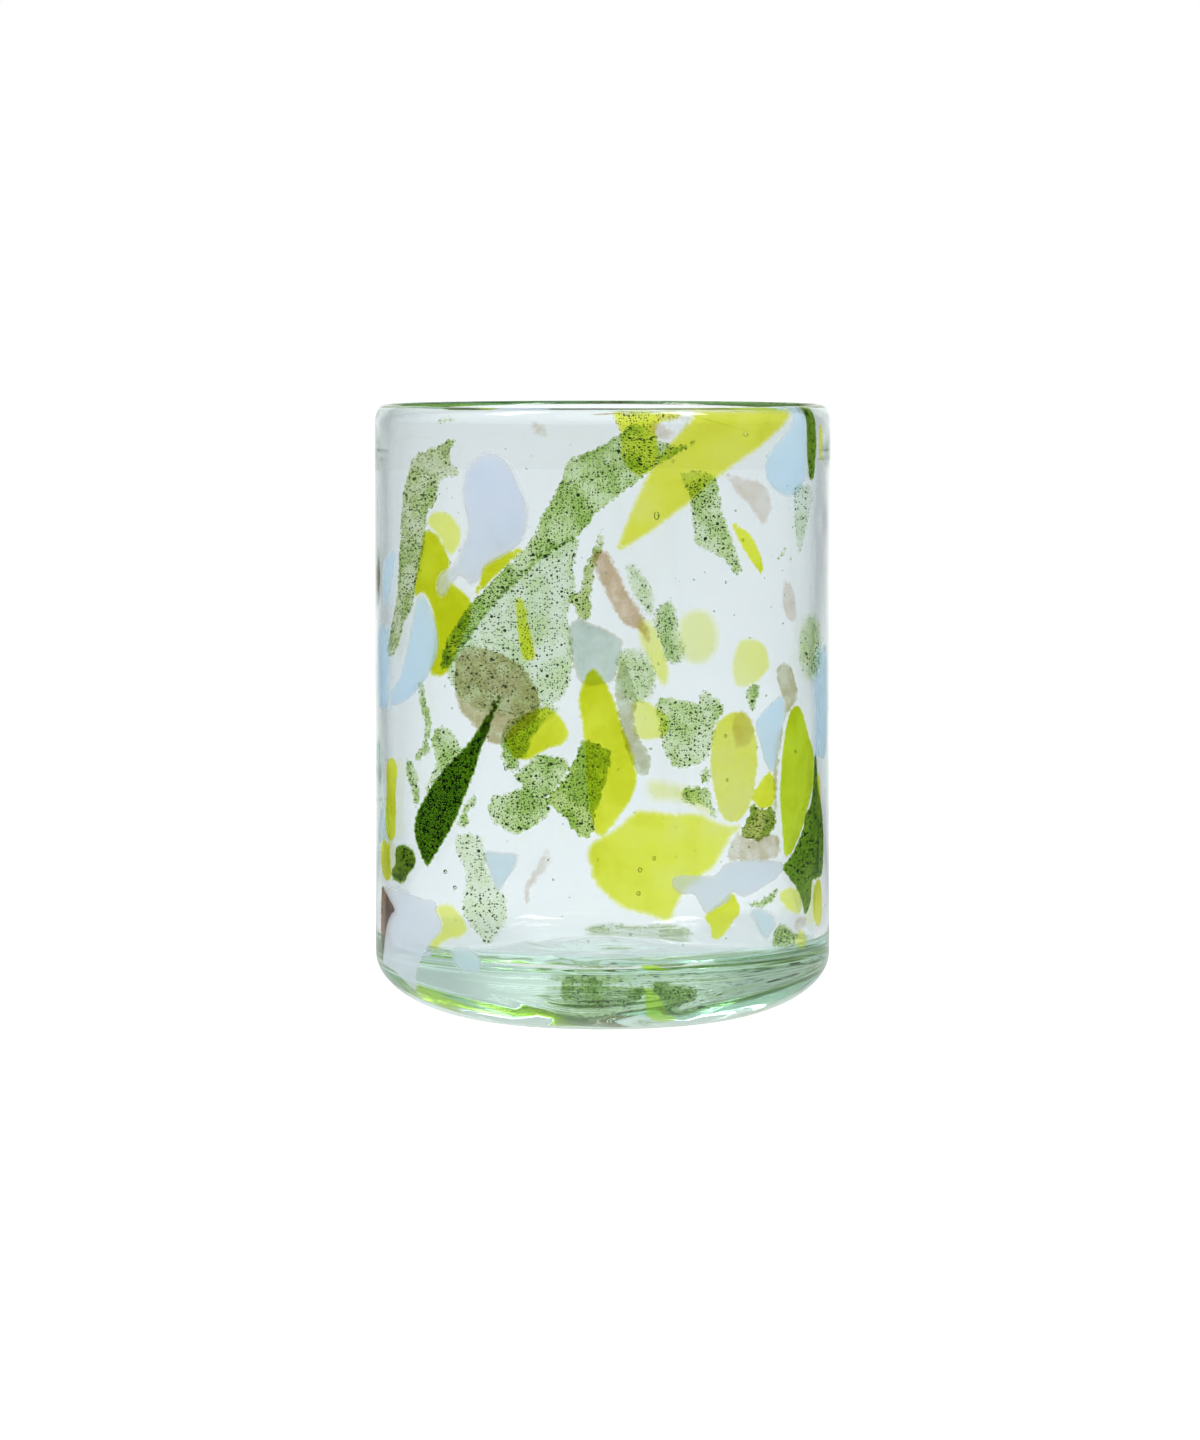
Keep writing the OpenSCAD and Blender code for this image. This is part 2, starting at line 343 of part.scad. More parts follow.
// Every chip node: its name, its depth in chip thicknesses, its outlines, and the chips fused over
// it. A chip shows on the outer skin wherever none of those covers it.
CHIPS = [
    ["moss_leaf", 1, [moss_leaf_shares], ["sky_lens"]],
    ["moss_sash", 1, [moss_sash_shares], []],
    ["moss_veil", 3, [moss_veil_shares],
        ["moss_sash", "dark_lens", "lime_bar", "lime_blob", "taupe_slab", "grey_cobble",
         "lime_sail", "moss_needle", "moss_saddle"]],
    ["moss_needle", 1, [moss_needle_shares], []],
    ["moss_flag", 1, [moss_flag_shares], []],
    ["moss_fang", 2, [moss_fang_shares], ["sky_drop"]],
    ["moss_wedge", 2, [moss_wedge_shares], ["lime_blade"]],
    ["moss_blob", 2, [moss_blob_shares], ["moss_wedge"]],
    ["moss_saddle", 3, [moss_saddle_shares], ["lime_blob", "taupe_slab"]],
    ["moss_crate", 1, [moss_crate_shares], []],
    ["moss_fin", 1, [moss_fin_shares], []],
    ["moss_trail", 2, [moss_trail_shares], ["sky_crumbs", "lime_crumbs"]],
    ["moss_mist", 2, [moss_mist_shares], ["sky_edge_right"]],
    ["moss_nugget", 1, [moss_nugget_shares], ["lime_crust"]],
    ["moss_heel", 1, [moss_heel_shares, moss_heel_right_shares], ["lime_heel_leaf"]],
    ["back_moss_heel", 1, [back_moss_heel_shares], []],
    ["back_moss_chunk", 2, [back_moss_chunk_shares], ["back_taupe_sliver", "back_lime_sliver"]],
    ["back_moss_drift", 3, [back_moss_drift_shares, back_moss_wisp_shares],
        ["back_taupe_sliver", "back_lime_sliver", "back_moss_chunk"]],
    ["moss_crumbs", 1, moss_crumb_tables_shares, ["dark_lens"]],
    ["dark_lens", 1, [dark_lens_shares], []],
    ["dark_cliff", 2, [dark_cliff_shares], ["lime_leaf", "lime_edge_right"]],
    ["dark_rim_shard", 2, [dark_rim_shard_shares], ["sky_drop"]],
    ["dark_patch", 1, [dark_patch_shares], []],
    ["lime_sail", 2, [lime_sail_shares], ["moss_leaf", "sky_teardrop", "sky_lens", "moss_sash"]],
    ["lime_triangle", 2, [lime_triangle_shares], ["moss_sash", "sky_teardrop"]],
    ["lime_bar", 1, [lime_bar_shares], []],
    ["lime_blob", 1, [lime_blob_shares], []],
    ["lime_blade", 1, [lime_blade_shares], []],
    ["lime_slab", 2, [lime_slab_shares], ["sky_wings"]],
    ["lime_comet", 2, [lime_comet_shares], ["moss_sash", "moss_flag", "taupe_crumbs"]],
    ["lime_rim_patch", 2, [lime_rim_patch_shares], ["moss_sash", "taupe_crumbs", "lime_comet"]],
    ["lime_sliver", 1, [lime_sliver_shares], []],
    ["lime_petal", 2, [lime_petal_shares], ["taupe_crumbs", "lime_crust", "moss_nugget"]],
    ["lime_leaf", 1, [lime_leaf_shares], []],
    ["lime_crust", 1, [lime_crust_shares], []],
    ["lime_tooth", 2, [lime_tooth_shares], ["sky_wings"]],
    ["lime_edge_left", 1, [lime_edge_high_shares, lime_edge_low_shares], []],
    ["lime_edge_right", 1, [lime_edge_right_shares, lime_edge_right_high_shares], []],
    ["lime_heel_leaf", 1, [lime_heel_leaf_shares], []],
    ["back_lime_sliver", 2, [back_lime_sliver_shares], ["back_taupe_sliver"]],
    ["back_lime_cloud", 1, [back_lime_cloud_shares, back_lime_haze_shares], []],
    ["back_lime_chunk", 1, [back_lime_chunk_shares], []],
    ["lime_crumbs", 1, lime_crumb_tables_shares, []],
    ["sky_teardrop", 1, [sky_teardrop_shares], []],
    ["sky_drop", 1, [sky_drop_shares], []],
    ["sky_shard", 1, [sky_shard_shares], []],
    ["sky_wings", 1, [sky_wings_shares], []],
    ["sky_plate", 1, [sky_plate_shares], ["lime_crumbs"]],
    ["sky_lens", 1, [sky_lens_shares], []],
    ["sky_edge_left", 1, [sky_edge_high_shares, sky_edge_low_shares], []],
    ["sky_edge_right", 1, [sky_edge_right_shares], []],
    ["sky_crumbs", 1, sky_crumb_tables_shares, []],
    ["taupe_slab", 2, [taupe_slab_shares], ["dark_lens", "lime_blob", "moss_sash"]],
    ["taupe_sliver", 1, [taupe_sliver_shares], []],
    ["taupe_strip", 2, [taupe_strip_shares], ["lime_blade", "grey_cobble"]],
    ["taupe_ribbon", 2, [taupe_ribbon_shares], ["lime_leaf", "sky_shard"]],
    ["taupe_bar", 2, [taupe_bar_shares], ["moss_nugget", "sky_wings"]],
    ["grey_cobble", 2, [grey_cobble_shares], ["lime_blade", "moss_needle"]],
    ["amber_wedge", 2, [amber_wedge_shares], ["sky_plate"]],
    ["back_taupe_sliver", 1, [back_taupe_sliver_shares], []],
    ["taupe_crumbs", 1, taupe_crumb_tables_shares, ["moss_sash", "lime_crumbs"]]];

// Looks up one chip's row, and what it holds
function chip(name) = CHIPS[search([name], CHIPS)[0]];
function chip_depth(name) = chip(name)[1] * chip_t;
function chip_outlines(name) = chip(name)[2];
function chips_over(name) = chip(name)[3];

// Outer profile of the glass, or the same profile sunk by depth: heel, wall and lip
function heel_arc(depth) = [for (i = [0 : arc_steps]) let (a = 90 * i / arc_steps)
    [foot_r + (glass_r - foot_r - depth) * sin(a), heel_h - (heel_h - depth) * cos(a)]];
function lip_arc(depth) = [for (i = [0 : arc_steps]) let (a = 90 * i / arc_steps)
    [glass_r - crest_w + (crest_w - depth) * cos(a), glass_h - lip_h + (lip_h - depth) * sin(a)]];
function outer_profile(depth) = concat(heel_arc(depth), lip_arc(depth));

// Radius of the sunk outer profile at a height
function outer_r(z, depth) = z >= heel_h ? glass_r - depth
    : foot_r + (glass_r - foot_r - depth) * sqrt(1 - pow((heel_h - z) / (heel_h - depth), 2));

// Inner profile from the crest of the lip down to the middle of the floor
function lip_inner_arc() = [for (i = [1 : arc_steps]) let (a = 90 * i / arc_steps)
    [glass_r - crest_w - (lip_t - crest_w) * sin(a),
     glass_h - lip_h * lip_inner_share * (1 - cos(a))]];
function bead_curve() = [for (i = [1 : blend_steps]) let (s = i / blend_steps)
    [inner_r - lip_bead * (1 + cos(180 * s)) / 2,
     glass_h - lip_h * lip_inner_share - bead_h * s]];
function floor_corner() = [for (i = [0 : arc_steps]) let (a = 90 * i / arc_steps)
    [floor_r + floor_fillet * cos(a), base_t + floor_fillet * (1 - sin(a))]];
function floor_dome() = [for (i = [1 : arc_steps]) let (s = i / arc_steps)
    [floor_r * (1 - s), base_t + floor_rise * (1 - cos(180 * s)) / 2]];
function pontil_curve() = [for (i = [0 : blend_steps]) let (s = i / blend_steps)
    [pontil_r * s, pontil_depth * (1 + cos(180 * s)) / 2]];

// Closed curve through a chip's points, rounded between them
function between(a, b, c, d, s) =
    (2 * b + s * (c - a) + s * s * (2 * a - 5 * b + 4 * c - d) + s * s * s * (3 * b - a - 3 * c + d)) / 2;
function rounded(points) = let (n = len(points))
    [for (i = [0 : n - 1], k = [0 : curve_steps - 1])
        between(points[(i + n - 1) % n], points[i], points[(i + 1) % n], points[(i + 2) % n],
                k / curve_steps)];

// Column through a chip's outline, square to the wall at the chip's middle
module chip_column(points, depth) {
    turns = [for (p = points) p[0]];
    heights = [for (p = points) p[1] * glass_h];
    middle = (min(turns) + max(turns)) / 2;
    half_turn = (max(turns) - min(turns)) / 2;
    start = outer_r(min(heights), depth) * cos(half_turn) - overrun;
    flat = [for (p = points) [glass_r * sin(p[0] - middle), p[1] * glass_h]];
    rotate([0, 0, middle]) rotate([90, 0, 0]) translate([0, 0, start])
        linear_extrude(glass_r + overrun - start) polygon(rounded(flat));
}

// The whole glass as if it were solid, or sunk by depth all round
module blank(depth) {
    rotate_extrude() polygon(concat([[0, depth]], outer_profile(depth), [[0, glass_h - depth]]));
}

// The pocket that a chip fills, open to the outside
module pocket(name) {
    difference() {
        for (points = chip_outlines(name)) chip_column(points, chip_depth(name));
        blank(chip_depth(name));
    }
}

// One chip, or one group of crumbs, flush with the outer skin
module inlay(name) {
    difference() {
        intersection() {
            pocket(name);
            blank(0);
        }
        for (other = chips_over(name)) pocket(other);
    }
}

module vessel() {
    rotate_extrude() polygon(concat(pontil_curve(), outer_profile(0), lip_inner_arc(),
                                    bead_curve(), floor_corner(), floor_dome()));
}

module tumbler_body() {
    color(clear_c) difference() {
        vessel();
        for (depth = [1 : 3]) difference() {
            for (row = CHIPS) if (row[1] == depth)
                for (points = row[2]) chip_column(points, depth * chip_t);
            blank(depth * chip_t);
        }
    }
}

module moss_leaf() { color(moss_c) inlay("moss_leaf"); }
module moss_sash() { color(moss_c) inlay("moss_sash"); }
module moss_veil() { color(moss_c) inlay("moss_veil"); }
module moss_needle() { color(moss_c) inlay("moss_needle"); }
module moss_flag() { color(moss_c) inlay("moss_flag"); }
module moss_fang() { color(moss_c) inlay("moss_fang"); }
module moss_wedge() { color(moss_c) inlay("moss_wedge"); }
module moss_blob() { color(moss_c) inlay("moss_blob"); }
module moss_saddle() { color(moss_c) inlay("moss_saddle"); }
module moss_crate() { color(moss_c) inlay("moss_crate"); }
module moss_fin() { color(moss_c) inlay("moss_fin"); }
module moss_trail() { color(moss_c) inlay("moss_trail"); }
module moss_mist() { color(moss_c) inlay("moss_mist"); }
module moss_nugget() { color(moss_c) inlay("moss_nugget"); }
module moss_heel() { color(moss_c) inlay("moss_heel"); }
module back_moss_heel() { color(moss_c) inlay("back_moss_heel"); }
module back_moss_chunk() { color(moss_c) inlay("back_moss_chunk"); }
module back_moss_drift() { color(moss_c) inlay("back_moss_drift"); }
module moss_crumbs() { color(moss_c) inlay("moss_crumbs"); }
module dark_lens() { color(dark_moss_c) inlay("dark_lens"); }
module dark_cliff() { color(dark_moss_c) inlay("dark_cliff"); }
module dark_rim_shard() { color(dark_moss_c) inlay("dark_rim_shard"); }
module dark_patch() { color(dark_moss_c) inlay("dark_patch"); }
module lime_sail() { color(lime_c) inlay("lime_sail"); }
module lime_triangle() { color(lime_c) inlay("lime_triangle"); }
module lime_bar() { color(lime_c) inlay("lime_bar"); }
module lime_blob() { color(lime_c) inlay("lime_blob"); }
module lime_blade() { color(lime_c) inlay("lime_blade"); }
module lime_slab() { color(lime_c) inlay("lime_slab"); }
module lime_comet() { color(lime_c) inlay("lime_comet"); }
module lime_rim_patch() { color(lime_c) inlay("lime_rim_patch"); }
module lime_sliver() { color(lime_c) inlay("lime_sliver"); }
module lime_petal() { color(lime_c) inlay("lime_petal"); }
module lime_leaf() { color(lime_c) inlay("lime_leaf"); }
module lime_crust() { color(lime_c) inlay("lime_crust"); }
module lime_tooth() { color(lime_c) inlay("lime_tooth"); }
module lime_edge_left() { color(lime_c) inlay("lime_edge_left"); }
module lime_edge_right() { color(lime_c) inlay("lime_edge_right"); }
module lime_heel_leaf() { color(lime_c) inlay("lime_heel_leaf"); }
module back_lime_sliver() { color(lime_c) inlay("back_lime_sliver"); }
module back_lime_cloud() { color(lime_c) inlay("back_lime_cloud"); }
module back_lime_chunk() { color(lime_c) inlay("back_lime_chunk"); }
module lime_crumbs() { color(lime_c) inlay("lime_crumbs"); }
module sky_teardrop() { color(sky_c) inlay("sky_teardrop"); }
module sky_drop() { color(sky_c) inlay("sky_drop"); }
module sky_shard() { color(sky_c) inlay("sky_shard"); }
module sky_wings() { color(sky_c) inlay("sky_wings"); }
module sky_plate() { color(sky_c) inlay("sky_plate"); }
module sky_lens() { color(sky_c) inlay("sky_lens"); }
module sky_edge_left() { color(sky_c) inlay("sky_edge_left"); }
module sky_edge_right() { color(sky_c) inlay("sky_edge_right"); }
module sky_crumbs() { color(sky_c) inlay("sky_crumbs"); }
module taupe_slab() { color(taupe_c) inlay("taupe_slab"); }
module taupe_sliver() { color(taupe_c) inlay("taupe_sliver"); }
module taupe_strip() { color(taupe_c) inlay("taupe_strip"); }
module taupe_ribbon() { color(taupe_c) inlay("taupe_ribbon"); }
module taupe_bar() { color(taupe_c) inlay("taupe_bar"); }
module grey_cobble() { color(taupe_c) inlay("grey_cobble"); }
module amber_wedge() { color(taupe_c) inlay("amber_wedge"); }
module back_taupe_sliver() { color(taupe_c) inlay("back_taupe_sliver"); }
module taupe_crumbs() { color(taupe_c) inlay("taupe_crumbs"); }

tumbler_body();
moss_leaf();
moss_sash();
moss_veil();
moss_needle();
moss_flag();
moss_fang();
moss_wedge();
moss_blob();
moss_saddle();
moss_crate();
moss_fin();
moss_trail();
moss_mist();
moss_nugget();
moss_heel();
back_moss_heel();
back_moss_chunk();
back_moss_drift();
moss_crumbs();
dark_lens();
dark_cliff();
dark_rim_shard();
dark_patch();
lime_sail();
lime_triangle();
lime_bar();
lime_blob();
lime_blade();
lime_slab();
lime_comet();
lime_rim_patch();
lime_sliver();
lime_petal();
lime_leaf();
lime_crust();
lime_tooth();
lime_edge_left();
lime_edge_right();
lime_heel_leaf();
back_lime_sliver();
back_lime_cloud();
back_lime_chunk();
lime_crumbs();
sky_teardrop();
sky_drop();
sky_shard();
sky_wings();
sky_plate();
sky_lens();
sky_edge_left();
sky_edge_right();
sky_crumbs();
taupe_slab();
taupe_sliver();
taupe_strip();
taupe_ribbon();
taupe_bar();
grey_cobble();
amber_wedge();
back_taupe_sliver();
taupe_crumbs();
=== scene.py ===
"""Looks of a hand-blown tumbler with chips of coloured glass fused in its skin.

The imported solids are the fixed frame. The clear body is spun again with the slow waves, ripples
and bubbles of blown glass, and each chip is made again from its own solid's outline, as a thin
lens of coloured glass just under the outer skin. Metres, +Z up, front towards -Y.
"""

from __future__ import annotations

import logging  # noqa: E402
import math  # noqa: E402
import random  # noqa: E402
from dataclasses import dataclass, field  # noqa: E402
from enum import Enum  # noqa: E402
from typing import Union  # noqa: E402

import bpy  # noqa: E402
import numpy as np  # noqa: E402
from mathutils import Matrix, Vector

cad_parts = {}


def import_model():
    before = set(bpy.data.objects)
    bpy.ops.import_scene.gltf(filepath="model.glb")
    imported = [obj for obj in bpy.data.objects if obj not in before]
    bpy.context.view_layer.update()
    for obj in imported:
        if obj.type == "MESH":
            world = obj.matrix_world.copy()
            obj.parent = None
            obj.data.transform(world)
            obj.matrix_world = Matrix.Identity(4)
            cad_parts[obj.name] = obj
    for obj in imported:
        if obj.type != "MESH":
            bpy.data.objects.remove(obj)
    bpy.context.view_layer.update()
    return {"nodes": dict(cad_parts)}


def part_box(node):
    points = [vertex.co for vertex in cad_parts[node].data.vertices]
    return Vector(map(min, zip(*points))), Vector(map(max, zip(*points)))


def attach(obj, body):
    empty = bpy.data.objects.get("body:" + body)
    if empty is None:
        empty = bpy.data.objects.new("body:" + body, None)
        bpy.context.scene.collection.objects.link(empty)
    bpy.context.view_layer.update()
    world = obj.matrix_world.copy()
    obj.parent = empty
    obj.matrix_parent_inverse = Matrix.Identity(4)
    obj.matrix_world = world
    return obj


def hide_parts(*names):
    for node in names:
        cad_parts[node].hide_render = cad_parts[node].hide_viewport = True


LOG = logging.getLogger("tumbler")
MM = 0.001
WELD = 0.002 * MM
FULL_TURN = 2 * math.pi
BODY = "tumbler_body"
ROOT = "root"
BOUNCES = 64

Array = np.ndarray
Colour = tuple[float, float, float]
Pair = tuple[float, float]
Four = tuple[float, float, float, float]
Piece = bpy.types.Object
Node = bpy.types.Node
Socket = bpy.types.NodeSocket
Owner = Union[bpy.types.Material, bpy.types.World]
Feed = Union[Node, Socket, float, tuple]

WHITE: Colour = (1.0, 1.0, 1.0)


class Hue(Enum):
    """The colours of glass that the chips are made of, by the record's material slot."""

    MOSS = ("moss", "speckled_green_glass")
    DEEP = ("dark", "dark_green_glass")
    LIME = ("lime", "lime_glass")
    SKY = ("sky", "sky_glass")
    TAUPE = ("taupe", "taupe_glass")
    SMOKE = ("grey", "taupe_glass")
    AMBER = ("amber", "taupe_glass")

    @property
    def slot(self) -> str:
        """The record's material slot that the hue's chips belong to."""
        return self.value[1]

    @classmethod
    def of(cls, node: str) -> Hue:
        """Finds a chip's hue from its node name, such as "back_lime_cloud"."""
        words = node.removeprefix("back_").split("_")
        return next(hue for hue in cls if hue.value[0] == words[0])


@dataclass(frozen=True)
class BlownProfile:
    """The glass's section, as in the solids, with the overall size read from the frame."""

    radius: float
    height: float
    wall: float = 2.2 * MM
    base: float = 10.8 * MM
    lip_bead: float = 0.6 * MM
    lip_height: float = 3.2 * MM
    bead_height: float = 9 * MM
    heel_height: float = 11.1 * MM
    foot_radius: float = 16.7 * MM
    pontil_radius: float = 8.5 * MM
    pontil_depth: float = 0.8 * MM
    floor_rise: float = 2 * MM
    floor_fillet: float = 4 * MM
    crest_share: float = 0.65
    lip_inner_share: float = 0.55
    arc_steps: int = 12
    heel_steps: int = 40
    fillet_steps: int = 32
    floor_steps: int = 36
    wall_step: float = 1.3 * MM

    @property
    def crest(self) -> float:
        """How far the lip's crest lies inside the outer wall."""
        return (self.wall + self.lip_bead) * self.crest_share

    @property
    def inner_radius(self) -> float:
        """Radius of the straight inner wall."""
        return self.radius - self.wall

    @property
    def floor_radius(self) -> float:
        """Radius of the floor inside its corner curve."""
        return self.inner_radius - self.floor_fillet

    def skin_radius(self, z: Array, depth: Array | float) -> Array:
        """Gives the radius of the outer skin, sunk by a depth.

        Args:
            z: Heights above the table.
            depth: How far below the skin.

        Returns:
            The radius at each height.
        """
        heel = np.clip((self.heel_height - z) / (self.heel_height - depth), 0, 1)
        foot = self.foot_radius
        radius = foot + (self.radius - foot - depth) * np.sqrt(1 - heel**2)
        lip = np.clip((z - self.height + self.lip_height) / (self.lip_height - depth), 0, 1)
        return radius - (self.crest - depth) * (1 - np.sqrt(1 - lip**2))

    def section(self) -> list[Pair]:
        """Lists the closed section from the foot's middle round to the floor's middle.

        Returns:
            Points as (radius, height), the first and last on the axis.
        """
        lip, heel, fillet = (
            [(math.sin(a), math.cos(a)) for a in self._steps(0.5 * math.pi, count)]
            for count in (self.arc_steps, self.heel_steps, self.fillet_steps)
        )
        shares = self._steps(1, self.arc_steps)
        foot, crest, corner = self.foot_radius, self.crest, self.floor_fillet
        edge = self.radius - crest
        inner_lip = self.lip_height * self.lip_inner_share
        inner_run = self.wall + self.lip_bead - crest
        bead_top = self.height - inner_lip
        return [
            *((self.pontil_radius * s, self.pontil_depth * self._fall(s)) for s in shares),
            *((foot + (self.radius - foot) * x, self.heel_height * (1 - y)) for x, y in heel),
            *self._wall(self.radius, self.heel_height, self.height - self.lip_height),
            *((edge + crest * y, self.height - self.lip_height * (1 - x)) for x, y in lip),
            *((edge - inner_run * x, bead_top + inner_lip * y) for x, y in lip[1:]),
            *(
                (self.inner_radius - self.lip_bead * self._fall(s), bead_top - self.bead_height * s)
                for s in shares[1:]
            ),
            *self._wall(self.inner_radius, bead_top - self.bead_height, self.base + corner),
            *((self.floor_radius + corner * y, self.base + corner * (1 - x)) for x, y in fillet),
            *(
                (self.floor_radius * (1 - s), self.base + self.floor_rise * (1 - self._fall(s)))
                for s in self._steps(1, self.floor_steps)[1:]
            ),
        ]

    def _wall(self, radius: float, start: float, end: float) -> list[Pair]:
        """Lists the points strictly between two heights of a straight wall."""
        count = round(abs(end - start) / self.wall_step)
        return [(radius, start + step) for step in self._steps(end - start, count)[1:-1]]

    @staticmethod
    def _steps(end: float, count: int) -> list[float]:
        """Lists even steps from 0 to an end, both with it."""
        return [end * i / count for i in range(count + 1)]

    @staticmethod
    def _fall(share: float) -> float:
        """Falls smoothly from 1 to 0 while the share rises from 0 to 1."""
        return (1 + math.cos(math.pi * share)) / 2


@dataclass(frozen=True)
class HandWaves:
    """The slow waves and dimples that blowing and turning by hand leave in the glass."""

    outer: float = 0.08 * MM
    inner: float = 0.17 * MM
    calm_below: float = 11 * MM
    calm_over: float = 18 * MM
    wave_seed: int = 11 * 31
    waves: int = 9
    wave_turns: tuple[int, ...] = (1, 2, 2, 3, 4, 5, 7)
    wave_rise: Pair = (20, 150)
    wave_strength: Pair = (0.4, 1)
    mean_strength: float = 0.55
    dimple_seed: int = 11 * 7
    dimples: int = 110
    dimple_depth: float = 0.16 * MM
    dimple_size: Pair = (2.5 * MM, 6.5 * MM)
    dimple_stretch: Pair = (0.6, 1.6)
    dimple_push: Pair = (0.3, 1)
    dimple_low: float = 0.12
    dimple_range: float = 0.72
    dimple_crowding: float = 1.7

    def field(self, turn: Array, z: Array, which: int) -> Array:
        """Gives a smooth random height between about -1 and 1 over the wall.

        Args:
            turn: Angles round the glass, in radians.
            z: Heights above the table.
            which: Picks one of several independent fields.

        Returns:
            The field at each place.
        """
        dice = random.Random(self.wave_seed + which)
        total = np.zeros_like(z)
        for _ in range(self.waves):
            phase = dice.choice(self.wave_turns) * turn + dice.uniform(*self.wave_rise) * z
            strength = dice.uniform(*self.wave_strength)
            total += strength * np.sin(phase + dice.uniform(0, FULL_TURN))
        return total / (self.mean_strength * self.waves)

    def skin(self, turn: Array, z: Array) -> Array:
        """Gives how far the outer skin swells, which dies out down at the heel."""
        hold = np.clip((z - self.calm_below) / self.calm_over, 0, 1)
        return self.outer * hold * self.field(turn, z, 0)

    def dents(self, turn: Array, z: Array, radius: float, top: float) -> Array:
        """Gives the inner wall's small dents and swells, which crowd towards the base.

        Args:
            turn: Angles round the glass, in radians.
            z: Heights above the table.
            radius: Radius of the inner wall.
            top: Height of the lip.

        Returns:
            How far the wall moves out at each place.
        """
        dice = random.Random(self.dimple_seed)
        total = np.zeros_like(z)
        for _ in range(self.dimples):
            middle = dice.uniform(-math.pi, math.pi)
            rise = self.dimple_low + self.dimple_range * dice.random() ** self.dimple_crowding
            wide = dice.uniform(*self.dimple_size)
            tall = wide * dice.uniform(*self.dimple_stretch)
            push = dice.choice((-1, 1)) * self.dimple_depth * dice.uniform(*self.dimple_push)
            across = (np.mod(turn - middle + math.pi, FULL_TURN) - math.pi) * radius / wide
            total += push * np.exp(-(across**2) - ((z - top * rise) / tall) ** 2)
        return total


def deselect_all() -> None:
    """Clears the selection, so that an operator acts only on what is picked next."""
    bpy.ops.object.select_all(action="DESELECT")


def joined(parts: list[Piece], name: str) -> Piece:
    """Joins parts into one named piece.

    Args:
        parts: The parts.
        name: The name of the piece and of its mesh.

    Returns:
        The piece, which is the active object.
    """
    deselect_all()
    for part in parts:
        part.select_set(True)
    bpy.context.view_layer.objects.active = piece = parts[0]
    if len(parts) > 1:
        bpy.ops.object.join()
    piece.name = piece.data.name = name
    return piece


def coordinates(piece: Piece) -> Array:
    """Reads a mesh's vertices.

    Args:
        piece: The mesh object.

    Returns:
        Rows of x, y and z.
    """
    places = np.empty(len(piece.data.vertices) * 3)
    piece.data.vertices.foreach_get("co", places)
    return places.reshape(-1, 3)


def move_vertices(piece: Piece, places: Array) -> None:
    """Writes a mesh's vertices from rows of x, y and z."""
    piece.data.vertices.foreach_set("co", places.astype(np.float32).ravel())
    piece.data.update()


